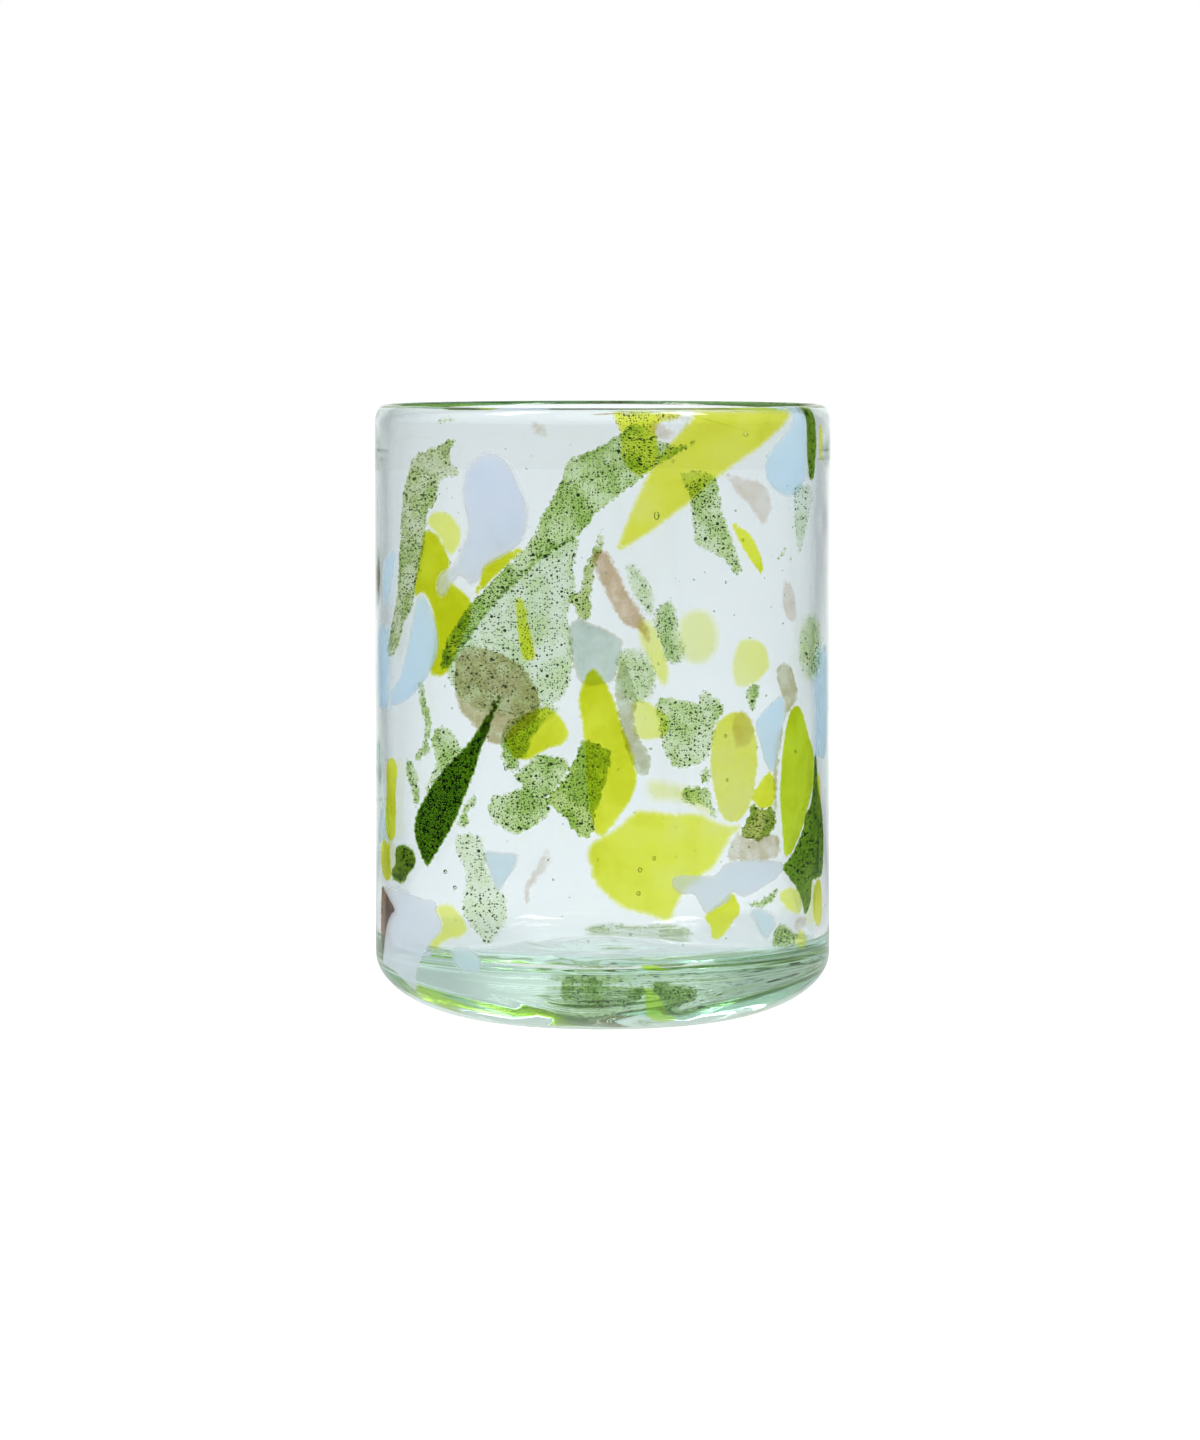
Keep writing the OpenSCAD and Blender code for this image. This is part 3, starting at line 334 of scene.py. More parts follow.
class Nodes:
    """Lays out the node tree of one material or of the world."""

    def __init__(self, owner: Owner, output: str) -> None:
        """Empties the owner's node tree and adds its output.

        Args:
            owner: The material or world.
            output: The type name of its output node, without its leading "ShaderNode".
        """
        owner.use_nodes = True
        self.owner = owner
        self.tree = owner.node_tree
        self.tree.nodes.clear()
        self.output = self.add(output)

    @classmethod
    def material(cls, name: str) -> Nodes:
        """Starts a new material's layout."""
        return cls(bpy.data.materials.new(name), "OutputMaterial")

    def feed(self, target: Socket, source: Feed) -> None:
        """Links something to an input, or types a number or a colour into it.

        Args:
            target: The input.
            source: A socket, a node whose first output is taken, a number or a tuple.
        """
        if isinstance(source, Node):
            source = source.outputs[0]
        if isinstance(source, Socket):
            self.tree.links.new(source, target)
        elif target.type == "RGBA":
            target.default_value = (*source, 1)
        else:
            target.default_value = source

    def add(
        self, kind: str, feeds: dict[int | str, Feed] | None = None, **settings: object
    ) -> Node:
        """Adds a node, sets its properties and feeds its inputs.

        Args:
            kind: The node's type name, without its leading "ShaderNode".
            feeds: What goes into its inputs, by their names or numbers.
            **settings: Properties of the node.

        Returns:
            The new node.
        """
        node = self.tree.nodes.new("ShaderNode" + kind)
        for name, value in settings.items():
            setattr(node, name, value)
        for name, source in (feeds or {}).items():
            self.feed(node.inputs[name], source)
        return node

    def place(self, output: str = "Object") -> Socket:
        """Gives the piece's Object coordinates, in metres, or another kind of place."""
        return self.add("TexCoord").outputs[output]

    def attribute(self, name: str, output: str = "Fac") -> Socket:
        """Reads one of the piece's own attributes."""
        return self.add("Attribute", attribute_name=name).outputs[output]

    def ray(self, output: str) -> Socket:
        """Tells what kind of ray has come, or how often it was scattered."""
        return self.add("LightPath").outputs[output]

    def part(self, vector: Feed, axis: str) -> Socket:
        """Takes X, Y or Z out of a vector."""
        return self.add("SeparateXYZ", {0: vector}).outputs[axis]

    def noise(
        self, place: Socket, scale: float, detail: float = 2, rough: float = 0.5, size: str = "3D"
    ) -> Node:
        """Adds a noise at a place, by its waves to the unit, its octaves and their strength."""
        feeds = {"Vector": place, "Scale": scale, "Detail": detail, "Roughness": rough}
        return self.add("TexNoise", feeds, noise_dimensions=size)

    def span(self, value: Feed, start: float, end: float, low: float, high: float) -> Node:
        """Maps a value smoothly, from low at the start to high at the end."""
        feeds = {"Value": value, "From Min": start, "From Max": end, "To Min": low, "To Max": high}
        return self.add("MapRange", feeds, interpolation_type="SMOOTHSTEP")

    def grain(self, grain: Grain, pitch: float, low: float, high: float) -> Node:
        """Spreads a noise, of a pitch in millimetres, over the chip's place, from low to high."""
        feeds = (self.attribute("flat", "Vector"), 1 / pitch, grain.octaves, grain.rough, "2D")
        return self.span(self.noise(*feeds), grain.start, grain.end, low, high)

    def sums(self, operation: str, first: Feed, second: Feed) -> Node:
        """Combines two values by the Math node's operation of that name."""
        return self.add("Math", {0: first, 1: second}, operation=operation)

    def vector(self, operation: str, *feeds: Feed) -> Node:
        """Reckons with vectors by the Vector Math node's operation of that name."""
        return self.add("VectorMath", dict(enumerate(feeds)), operation=operation)

    def ramp(self, amount: Feed, *colours: Colour) -> Node:
        """Runs through evenly spaced colours.

        Args:
            amount: Where to read, from 0 to 1.
            *colours: The colours, first to last.

        Returns:
            The ramp node.
        """
        node = self.add("ValToRGB", {0: amount})
        stops = node.color_ramp.elements
        while len(stops) < len(colours):
            stops.new(1)
        for i, colour in enumerate(colours):
            stops[i].position = i / (len(colours) - 1)
            stops[i].color = (*colour, 1)
        return node

    def blend(self, share: Feed, first: Feed, second: Feed, **settings: object) -> Socket:
        """Mixes two colours, the second one by its share, with the Mix node's further settings."""
        feeds = {0: share, 6: first, 7: second}
        return self.add("Mix", feeds, data_type="RGBA", **settings).outputs[2]

    def times(self, first: Feed, second: Feed) -> Socket:
        """Multiplies two colours and keeps the result from 0 to 1."""
        return self.blend(1, first, second, blend_type="MULTIPLY", clamp_result=True)

    def mix(self, share: Feed, first: Node, second: Node) -> Node:
        """Mixes two shaders, the second one by its share."""
        return self.add("MixShader", {0: share, 1: first, 2: second})

    def finish(self, shader: Node) -> Owner:
        """Wires the last shader to the output and gives the material or world."""
        self.feed(self.output.inputs["Surface"], shader)
        return self.owner


@dataclass(frozen=True)
class ClearGlass:
    """The clear gather: bright, faintly grey-green in its thick base, with slow surface waves."""

    ior: float = 1.5
    tint: Colour = (0.867, 0.901, 0.915)
    depth_colour: Colour = (0.5, 0.82, 0.64)
    density: float = 10.5
    lamp_share: Colour = (0.93, 0.95, 0.945)
    wave_scale: float = 260
    wave_octaves: float = 3
    wave_strength: float = 0.01
    wave_heights: Pair = (14 * MM, 30 * MM)

    def material(self) -> bpy.types.Material:
        """Builds the finish of the clear body.

        Returns:
            The material.
        """
        nodes = Nodes.material("clear_blown_glass")
        height = nodes.part(nodes.place(), "Z")
        waves = {
            "Strength": nodes.span(height, *self.wave_heights, 0, self.wave_strength),
            "Distance": MM,
            "Height": nodes.noise(nodes.place(), self.wave_scale, self.wave_octaves),
        }
        clear = {
            "Base Color": self.tint,
            "Roughness": 0,
            "IOR": self.ior,
            "Transmission Weight": 1,
            "Normal": nodes.add("Bump", waves),
        }
        glass = nodes.add("BsdfPrincipled", clear)
        lamps = nodes.add("BsdfTransparent", {0: self.lamp_share})
        depth = nodes.add("VolumeAbsorption", {"Color": self.depth_colour, "Density": self.density})
        nodes.feed(nodes.output.inputs["Volume"], depth)
        return nodes.finish(nodes.mix(nodes.ray("Is Shadow Ray"), glass, lamps))


@dataclass(frozen=True)
class BubbleGlass:
    """Air in the glass: the light bends the other way at a bubble's skin."""

    air_to_glass: float = 1 / 1.5

    def material(self) -> bpy.types.Material:
        """Builds the finish of the bubbles.

        Returns:
            The material.
        """
        nodes = Nodes.material("air_bubble")
        air = nodes.add("BsdfGlass", {"Roughness": 0, "IOR": self.air_to_glass})
        lamps = nodes.add("BsdfTransparent")
        return nodes.finish(nodes.mix(nodes.ray("Is Shadow Ray"), air, lamps))


@dataclass(frozen=True)
class Grain:
    """How a noise over a chip is made, and the range of its values that is read."""

    octaves: float
    rough: float
    start: float
    end: float


FRAY = Grain(3, 0.65, 0.25, 0.75)
CLOUD = Grain(3, 0.5, 0.3, 0.7)
DUST = Grain(2, 0.7, 0.36, 0.62)


@dataclass(frozen=True)
class Specks:
    """One size of near-black specks in a chip, in millimetres.

    Attributes:
        pitch: Distance between places for specks.
        size: Largest radius of a speck; the other sizes are shares of it.
        share: How many of the places hold one, from 0 to 1.
    """

    pitch: float
    size: float
    share: float
    least: float = 0.35
    core: float = 0.7
    fade: float = 1.15
    sway: float = 0.1
    sway_waves: float = 0.7

    def dots(self, nodes: Nodes, crowd: Feed) -> Node:
        """Scatters the specks, denser where the glass is stronger.

        Args:
            nodes: The material's layout.
            crowd: How densely they lie.

        Returns:
            How much a speck covers, at each point.
        """
        sway = self.sway * self.size
        flat = nodes.attribute("flat", "Vector")
        push = nodes.noise(flat, self.sway_waves / sway).outputs["Color"]
        place = nodes.vector("MULTIPLY_ADD", push, (2 * sway, 2 * sway, 0), flat)
        feeds = {"Scale": 1 / self.pitch, "Vector": place}
        cells = nodes.add("TexVoronoi", feeds, voronoi_dimensions="2D")
        lot = nodes.add("SeparateColor", {0: cells.outputs["Color"]})
        chosen = nodes.sums("LESS_THAN", lot, nodes.sums("MULTIPLY", crowd, self.share))
        radius = nodes.span(lot.outputs[1], 0, 1, self.least, 1)
        radius = nodes.sums("MULTIPLY", radius, self.size / self.pitch)
        reach = nodes.sums("DIVIDE", cells.outputs["Distance"], radius)
        dot = nodes.span(reach, self.core, self.fade, 1, 0)
        return nodes.sums("MULTIPLY", dot, chosen)


@dataclass(frozen=True)
class FusedGlass:
    """One colour of chip glass, seen through twice: at its outer and its inner face.

    Attributes:
        name: The material's name.
        thin: What the palest stretch lets through at each face.
        mid: What a stretch of half strength lets through.
        full: What the strongest stretch lets through.
        milk: The colour of the cloud in the glass.
        milk_share: How much of the light the cloud scatters.
        edge: What the feathered rim lets through.
        edge_share: How strongly the rim shows its own colour.
        edge_band: Where the rim's colour fades, in shares of the feather.
        cloud, dust: How much the strength drifts over the chip, slowly and as fine powder.
        ragged, fray: How far the outline and the soft rim wander, in millimetres.
        cloud_pitch, dust_pitch, fray_pitch: How wide those waves are, in millimetres.
        specks: The sizes of near-black specks.
        speck_colour: What a speck lets through.
        speck_level: How strong they are where the chip asks for none.
        crowd: How densely they lie in the palest and in the strongest glass.
    """

    name: str
    thin: Colour
    mid: Colour
    full: Colour
    milk: Colour
    milk_share: float
    edge: Colour = WHITE
    edge_share: float = 0
    edge_band: Pair = (0.3, 1.6)
    cloud: float = 0.3
    cloud_pitch: float = 5
    dust: float = 0
    dust_pitch: float = 0.24
    ragged: float = 0.1
    fray: float = 0.1
    fray_pitch: float = 0.9
    specks: tuple[Specks, ...] = ()
    speck_colour: Colour = (0.08, 0.12, 0.04)
    speck_level: float = 1
    crowd: Pair = (0.5, 1.7)

    def material(self) -> bpy.types.Material:
        """Builds the finish from the chip's own attributes.

        Returns:
            The material.
        """
        nodes = Nodes.material(self.name)
        fray = nodes.grain(FRAY, self.fray_pitch, -self.fray, self.fray)
        rim = nodes.sums("ADD", nodes.attribute("gap"), fray)
        rim = nodes.sums("DIVIDE", rim, nodes.attribute("soft"))
        drift = nodes.grain(CLOUD, self.cloud_pitch, 1 - self.cloud, 1 + self.cloud)
        amount = nodes.sums("MULTIPLY", nodes.attribute("dose"), drift)
        if self.dust:
            dust = nodes.grain(DUST, self.dust_pitch, 1 + self.dust, 1 - self.dust)
            amount = nodes.sums("MULTIPLY", amount, dust)
        tint = nodes.attribute("tint", "Vector")
        through = nodes.times(nodes.ramp(amount, self.thin, self.mid, self.full), tint)
        if self.specks:
            through = nodes.blend(self._dots(nodes, amount), through, self.speck_colour)
        halo = nodes.sums("MULTIPLY", nodes.span(rim, *self.edge_band, 1, 0), self.edge_share)
        through = nodes.blend(halo, through, self.edge)
        present = nodes.span(rim, 0, 1, 0, 1)
        film = nodes.add("BsdfTransparent", {0: nodes.blend(present, WHITE, through)})
        cloud = nodes.times(tint, self.milk)
        front = nodes.add("BsdfDiffuse", {"Color": cloud})
        back = nodes.add("BsdfTranslucent", {"Color": cloud})
        share = nodes.sums("MULTIPLY", present, self.milk_share)
        return nodes.finish(nodes.mix(share, film, nodes.mix(0.5, front, back)))

    def _dots(self, nodes: Nodes, amount: Feed) -> Node:
        """Lays all sizes of specks over each other.

        Args:
            nodes: The material's layout.
            amount: The strength of the glass.

        Returns:
            How much a speck covers, at each point.
        """
        crowd = nodes.span(amount, 0, 1, *self.crowd)
        total, *others = (specks.dots(nodes, crowd) for specks in self.specks)
        for dots in others:
            total = nodes.sums("MAXIMUM", total, dots)
        level = nodes.sums("MAXIMUM", nodes.attribute("specks"), self.speck_level)
        return nodes.sums("MULTIPLY", total, level)


MOSS_SPECKS = (Specks(0.42, 0.13, 0.6), Specks(0.85, 0.2, 0.42), Specks(2.4, 0.3, 0.35))

FINISHES = {
    Hue.MOSS: FusedGlass(
        "speckled_moss_glass", (0.975, 0.99, 0.94), (0.785, 0.87, 0.595), (0.59, 0.74, 0.325),
        (0.3, 0.48, 0.2), 0.05, cloud=0.5, dust=0.22, ragged=0.15, fray=0.3, specks=MOSS_SPECKS,
    ),
    Hue.DEEP: FusedGlass(
        "deep_green_glass", (0.5, 0.66, 0.18), (0.33, 0.49, 0.06), (0.21, 0.37, 0.02),
        (0.03, 0.09, 0.01), 0.03, (0.4, 0.58, 0.14), 0.8, dust=0.4, ragged=0.08, fray=0.16,
        specks=(Specks(0.5, 0.22, 0.5), Specks(1.2, 0.36, 0.4)), speck_colour=(0.04, 0.08, 0.01),
    ),
    Hue.LIME: FusedGlass(
        "lime_glass", (0.99, 0.99, 0.86), (0.95, 0.965, 0.32), (0.79, 0.815, 0.07),
        (0.72, 0.78, 0.06), 0.1, cloud=0.14, cloud_pitch=7, dust=0.03, fray=0.12,
        specks=MOSS_SPECKS, speck_level=0,
    ),
    Hue.SKY: FusedGlass(
        "sky_opal_glass", (0.98, 1.0, 1.0), (0.89, 0.95, 1.0), (0.8, 0.9, 1.0),
        (0.84, 0.94, 1.0), 0.5, (0.93, 0.87, 0.84), 0.8, cloud=0.12, cloud_pitch=6,
        ragged=0.04, fray=0.05,
    ),
    Hue.TAUPE: FusedGlass(
        "taupe_glass", (0.97, 0.96, 0.95), (0.92, 0.88, 0.83), (0.8, 0.72, 0.6),
        (0.5, 0.44, 0.36), 0.06, cloud_pitch=3, dust=0.15, ragged=0.16, fray=0.2,
    ),
    Hue.SMOKE: FusedGlass(
        "smoke_glass", (0.95, 0.97, 0.96), (0.88, 0.93, 0.9), (0.7, 0.76, 0.7),
        (0.4, 0.45, 0.42), 0.06, (0.9, 0.84, 0.78), 0.7, cloud=0.12, cloud_pitch=4, fray=0.15,
    ),
    Hue.AMBER: FusedGlass(
        "amber_glass", (0.85, 0.75, 0.55), (0.6, 0.45, 0.25), (0.4, 0.26, 0.12),
        (0.2, 0.12, 0.05), 0.08, cloud_pitch=2, fray=0.15,
    ),
}


@dataclass(frozen=True)
class Look:
    """How one chip differs from the others of its colour.

    Attributes:
        dose: How strong its colour is.
        feather: How wide its soft rim is, in millimetres.
        tint: What its colour is multiplied by.
        specks: How strong its specks are, where its colour has none of its own.
        lean: How much stronger one end is, by sign; at 0 the dice choose.
    """

    dose: float = 0.85
    feather: float = 0.45
    tint: Colour = WHITE
    specks: float = 0
    lean: float = 0


LOOKS = {
    "moss_leaf": Look(0.46, tint=(1, 0.97, 0.98)), "moss_sash": Look(0.66, 0.35, lean=1),
    "moss_veil": Look(0.28, 0.6, (1, 1, 1.04), lean=2.5),
    "moss_needle": Look(0.5, 0.4, (0.99, 0.96, 0.94)), "moss_flag": Look(0.45, 0.6),
    "moss_fang": Look(0.15, 0.6, (1, 1, 1.05)), "moss_wedge": Look(1.05, 0.3, (1, 0.99, 0.88)),
    "moss_blob": Look(0.62, 0.6), "moss_saddle": Look(0.7, 0.9), "moss_crate": Look(0.45, 0.5),
    "moss_fin": Look(0.5, 0.6), "moss_trail": Look(0.14, 0.7), "moss_mist": Look(0.22, 2),
    "moss_nugget": Look(0.95, 0.5, (0.92, 0.86, 0.62)),
    "moss_heel": Look(0.62, 0.8, (1, 0.98, 1.1)), "back_moss_heel": Look(0.42, 1.6, (1, 0.98, 1.1)),
    "moss_crumbs": Look(0.5, 0.6), "back_moss_chunk": Look(0.5, 1.2),
    "back_moss_drift": Look(0.35, 1.4), "dark_lens": Look(1, 0.5), "dark_cliff": Look(0.28, 0.5),
    "dark_patch": Look(0.45, 0.6, (1.05, 0.95, 1)), "dark_rim_shard": Look(0.1, 0.5),
    "lime_sail": Look(0.98, 0.9), "lime_triangle": Look(0.8, 0.6), "lime_bar": Look(0.45, 0.5),
    "lime_blob": Look(0.75, 0.7), "lime_blade": Look(0.72, 0.7),
    "lime_slab": Look(0.48, 1.3, (0.985, 0.985, 1.04), lean=-2),
    "lime_comet": Look(0.52, 1.2, (0.985, 0.965, 1.02)),
    "lime_rim_patch": Look(0.56, 0.7, specks=1), "lime_sliver": Look(0.62, 0.5),
    "lime_petal": Look(0.38, 0.6, (0.95, 0.945, 1.02)),
    "lime_leaf": Look(0.8, 0.4, (0.905, 0.98, 0.93)), "lime_crust": Look(0.7, 0.5),
    "lime_tooth": Look(0.6, 0.6), "lime_edge_left": Look(0.7, 0.5),
    "lime_edge_right": Look(0.75, 0.5), "lime_heel_leaf": Look(0.3, 0.5, (0.86, 0.98, 0.8)),
    "lime_crumbs": Look(0.3, 0.9), "back_lime_cloud": Look(0.12, 2.2),
    "back_lime_chunk": Look(0.22, 1), "back_lime_sliver": Look(0.25, 1.4),
    "sky_teardrop": Look(0.85, 1.1, (1.08, 1, 0.99)), "sky_drop": Look(0.9, 0.8),
    "sky_shard": Look(0.75, 0.5), "sky_wings": Look(0.4, 0.5, (1.05, 1, 1.15)),
    "sky_plate": Look(0.34, 0.4, (1.07, 1, 1.15)), "sky_lens": Look(0.8, 0.5),
    "sky_crumbs": Look(0.35, 0.9), "taupe_slab": Look(0.9, 0.6, (0.93, 0.98, 0.86)),
    "taupe_bar": Look(0.66, 0.5, (0.99, 1.02, 1)),
    "taupe_strip": Look(0.72, 0.4, (0.94, 1.03, 0.99)),
    "taupe_ribbon": Look(0.85, 0.5, (0.96, 1.03, 0.98)), "taupe_crumbs": Look(0.45, 0.9),
    "taupe_sliver": Look(0.4, 0.8), "back_taupe_sliver": Look(0.9, 0.9, (1.01, 0.96, 0.9)),
    "grey_cobble": Look(0.7, 0.5),
}


@dataclass(frozen=True)
class Drift:
    """A smooth seeded field over the unrolled wall, for rims that wander."""

    seed: int = 3
    waves: int = 18
    short: float = 0.45 * MM
    long: float = 3 * MM

    def at(self, places: Array) -> Array:
        """Gives the field at unrolled places.

        Args:
            places: Rows of across and up.

        Returns:
            Values between about -1 and 1.
        """
        dice = random.Random(self.seed)
        total = np.zeros(len(places))
        weight = 0.0
        for _ in range(self.waves):
            length = self.short * (self.long / self.short) ** dice.random()
            turn = dice.uniform(0, FULL_TURN)
            share = math.sqrt(length / self.long)
            pull = FULL_TURN / length
            across = pull * math.cos(turn) * places[:, 0] + pull * math.sin(turn) * places[:, 1]
            total += share * np.sin(across + dice.uniform(0, FULL_TURN))
            weight += share**2
        return total / math.sqrt(2 * weight)


@dataclass
class Chip:
    """One fused chip or group of crumbs, made again from its solid's outline."""

    node: Piece
    profile: BlownProfile
    waves: HandWaves
    look: Look
    ragged: float
    layer_pitch: float = 0.45 * MM
    cover: float = 0.14 * MM
    body: float = 0.28 * MM
    grid: float = 0.8 * MM
    taper: float = 0.7 * MM
    thin_edge_share: float = 0.3
    end_fade: float = 0.16
    rim_step: float = 0.4 * MM
    least_growth: float = 0.02 * MM
    kept_growth: float = 0.9
    facing: float = -0.6
    smooth_deg: float = 40
    batch: int = 2000
    tiny: float = 1e-9
    outlines: list[Array] = field(default_factory=list)
    depth: float = 0.0

    def read_outlines(self) -> None:
        """Reads the solid's inner face, which spans the whole chip, as unrolled outlines."""
        mesh = self.node.data
        mesh.calc_loop_triangles()
        places = coordinates(self.node)
        corners = np.array([t.vertices[:] for t in mesh.loop_triangles])
        a, b, c = (places[corners[:, i]] for i in range(3))
        normals = np.cross(b - a, c - a)
        sizes = np.linalg.norm(normals, axis=1)
        out = self._outward((a + b + c) / 3)
        inner = (normals * out).sum(1) < self.facing * sizes
        keys = np.round(places / WELD).astype(np.int64)
        unique, welded = np.unique(keys, axis=0, return_inverse=True)
        welded = welded.reshape(-1)
        points = unique * WELD
        ends = {
            edge
            for one, two, three in welded[corners[inner]].tolist()
            for edge in ((one, two), (two, three), (three, one))
        }
        following = {one: two for one, two in ends if (two, one) not in ends and one != two}
        straight = [i for i in following if points[i, 2] > self.profile.heel_height]
        if straight:
            radius = np.hypot(points[straight, 0], points[straight, 1])
            self.depth = self.profile.radius - float(radius.min())
        while following:
            start, here = next(iter(following.items()))
            del following[start]
            loop = [start]
            while here != start and here in following:
                loop.append(here)
                here = following.pop(here)
            if len(loop) > 3:
                ring = points[loop]
                turn = np.unwrap(np.arctan2(ring[:, 0], -ring[:, 1]))
                self.outlines.append(np.stack([turn * self.profile.radius, ring[:, 2]], 1))

    def _outward(self, places: Array) -> Array:
        """Gives the glass's outward direction near its outer skin.

        Args:
            places: Rows of x, y and z.

        Returns:
            Rows of unit length.
        """
        shape = self.profile
        radius = np.hypot(places[:, 0], places[:, 1])
        z = places[:, 2]
        rise, flat = np.zeros_like(z), np.ones_like(z)
        heel_top, lip_foot = shape.heel_height, shape.height - shape.lip_height
        for arc, middle, run, level, tall in (
            (z < heel_top, shape.foot_radius, shape.radius - shape.foot_radius, heel_top, heel_top),
            (z > lip_foot, shape.radius - shape.crest, shape.crest, lip_foot, shape.lip_height),
        ):
            rise[arc] = (z[arc] - level) / tall**2
            flat[arc] = (radius[arc] - middle) / run**2
        out = np.stack([places[:, 0] / radius * flat, places[:, 1] / radius * flat, rise], 1)
        return out / np.linalg.norm(out, axis=1)[:, None]

    def build(self) -> Piece:
        """Makes the chip's sheets flat, thickens them and rolls them onto the glass.

        Returns:
            The finished piece.
        """
        self.read_outlines()
        sheets = [self._sheet(self._grown(line), i) for i, line in enumerate(self.outlines)]
        piece = joined(sheets, self.node.name + "_glass")
        bpy.ops.object.mode_set(mode="EDIT")
        bpy.ops.mesh.select_all(action="SELECT")
        bpy.ops.mesh.normals_make_consistent(inside=False)
        bpy.ops.object.mode_set(mode="OBJECT")
        bpy.ops.object.shade_smooth_by_angle(angle=math.radians(self.smooth_deg))
        return piece

    def _grown(self, outline: Array) -> Array:
        """Moves an outline out by half its feather and lets it wander as real rims do.

        Args:
            outline: Unrolled points, across and up.

        Returns:
            The new outline.
        """
        after = np.roll(outline, -1, axis=0)
        fine = []
        for one, two in zip(outline, after):
            count = max(1, math.ceil(float(np.linalg.norm(two - one)) / self.rim_step))
            fine += [one + (two - one) * i / count for i in range(count)]
        line = np.array(fine)
        along = np.roll(line, -1, axis=0) - np.roll(line, 1, axis=0)
        along /= np.maximum(np.linalg.norm(along, axis=1), self.tiny)[:, None]
        doubled = (outline[:, 0] * after[:, 1] - after[:, 0] * outline[:, 1]).sum()
        out = np.stack([along[:, 1], -along[:, 0]], 1) * (1 if doubled > 0 else -1)
        grow = 0.5 * self.look.feather * MM + self.ragged * Drift().at(line)
        grow = np.maximum(grow, self.least_growth)
        moved = line + out * grow[:, None]
        return moved[self._distance(moved, line) > self.kept_growth * grow]

    def _sheet(self, outline: Array, index: int) -> Piece:
        """Cuts one outline into a fine grid, then thickens, tapers and rolls it.

        Args:
            outline: Unrolled points, across and up.
            index: Which of the node's outlines this is.

        Returns:
            The rolled sheet.
        """
        deselect_all()
        bpy.ops.mesh.primitive_circle_add(vertices=len(outline), radius=MM, fill_type="NGON")
        sheet = bpy.context.object
        move_vertices(sheet, np.pad(outline, ((0, 0), (0, 1))))
        bpy.ops.object.mode_set(mode="EDIT")
        bpy.ops.mesh.select_all(action="SELECT")
        bpy.ops.mesh.quads_convert_to_tris(ngon_method="BEAUTY")
        low, high = outline.min(0), outline.max(0)
        for axis, normal in ((0, (1, 0, 0)), (1, (0, 1, 0))):
            count = max(1, round((high[axis] - low[axis]) / self.grid))
            for i in range(1, count):
                where = low[axis] + (high[axis] - low[axis]) * i / count
                bpy.ops.mesh.select_all(action="SELECT")
                bpy.ops.mesh.bisect(plane_co=tuple(where * n for n in normal), plane_no=normal)
        bpy.ops.mesh.select_all(action="SELECT")
        bpy.ops.mesh.extrude_region_move(TRANSFORM_OT_translate={"value": (0, 0, self.body)})
        bpy.ops.object.mode_set(mode="OBJECT")
        places = coordinates(sheet)
        gap = self._distance(places[:, :2], outline)
        self._paint(sheet, places, gap, outline, index)
        move_vertices(sheet, self._rolled(places, gap))
        return sheet

    def _distance(self, points: Array, outline: Array) -> Array:
        """Gives each point's distance to the outline.

        Args:
            points: Unrolled points.
            outline: Unrolled points of the outline.

        Returns:
            The distances.
        """
        along = np.roll(outline, -1, axis=0) - outline
        length = np.maximum((along**2).sum(1), self.tiny**2)
        nearest = np.empty(len(points))
        for first in range(0, len(points), self.batch):
            some = slice(first, first + self.batch)
            away = points[some, None, :] - outline[None]
            share = np.clip((away * along[None]).sum(2) / length[None], 0, 1)
            rest = away - share[..., None] * along[None]
            nearest[some] = np.sqrt((rest**2).sum(2).min(1))
        return nearest

    def _paint(self, sheet: Piece, places: Array, gap: Array, outline: Array, index: int) -> None:
        """Stores what the finish reads: the place, the distance to the rim and the strength.

        Args:
            sheet: The flat sheet.
            places: Its vertices.
            gap: Each vertex's distance to the outline.
            outline: The outline.
            index: Which of the node's outlines this is.
        """
        look = self.look
        middle = outline.mean(0)
        spread = outline - middle
        _, _, axes = np.linalg.svd(spread, full_matrices=False)
        along = (places[:, :2] - middle) @ axes[0] / np.abs(spread @ axes[0]).max()
        dice = random.Random(f"{self.node.name}{index}")
        lean = (look.lean or dice.choice((-1, 1))) * self.end_fade
        every = np.ones((len(places), 1))
        for name, rows in (
            ("gap", gap / MM),
            ("soft", every * look.feather),
            ("dose", look.dose * (1 + lean * along)),
            ("specks", every * look.specks),
            ("flat", places / MM * (1, 1, 0)),
            ("tint", every * look.tint),
        ):
            vector = rows.shape[-1] == 3 and rows.ndim == 2
            kind, key = ("FLOAT_VECTOR", "vector") if vector else ("FLOAT", "value")
            attribute = sheet.data.attributes.new(name, kind, "POINT")
            attribute.data.foreach_set(key, rows.astype(np.float32).ravel())

    def _rolled(self, places: Array, gap: Array) -> Array:
        """Rolls flat points onto the glass, with the chip thinned towards its rim.

        Args:
            places: Flat points: across, up, and 0 at the outer face.
            gap: Each point's distance to the outline.

        Returns:
            The points on the glass.
        """
        layer = max(0, round(self.depth / self.layer_pitch) - 1)
        top = self.cover + layer * self.layer_pitch
        share = self.thin_edge_share + (1 - self.thin_edge_share) * np.clip(gap / self.taper, 0, 1)
        turn = places[:, 0] / self.profile.radius
        z = places[:, 1]
        radius = self.profile.skin_radius(z, top + places[:, 2] * share) + self.waves.skin(turn, z)
        return np.stack([radius * np.sin(turn), -radius * np.cos(turn), z], 1)


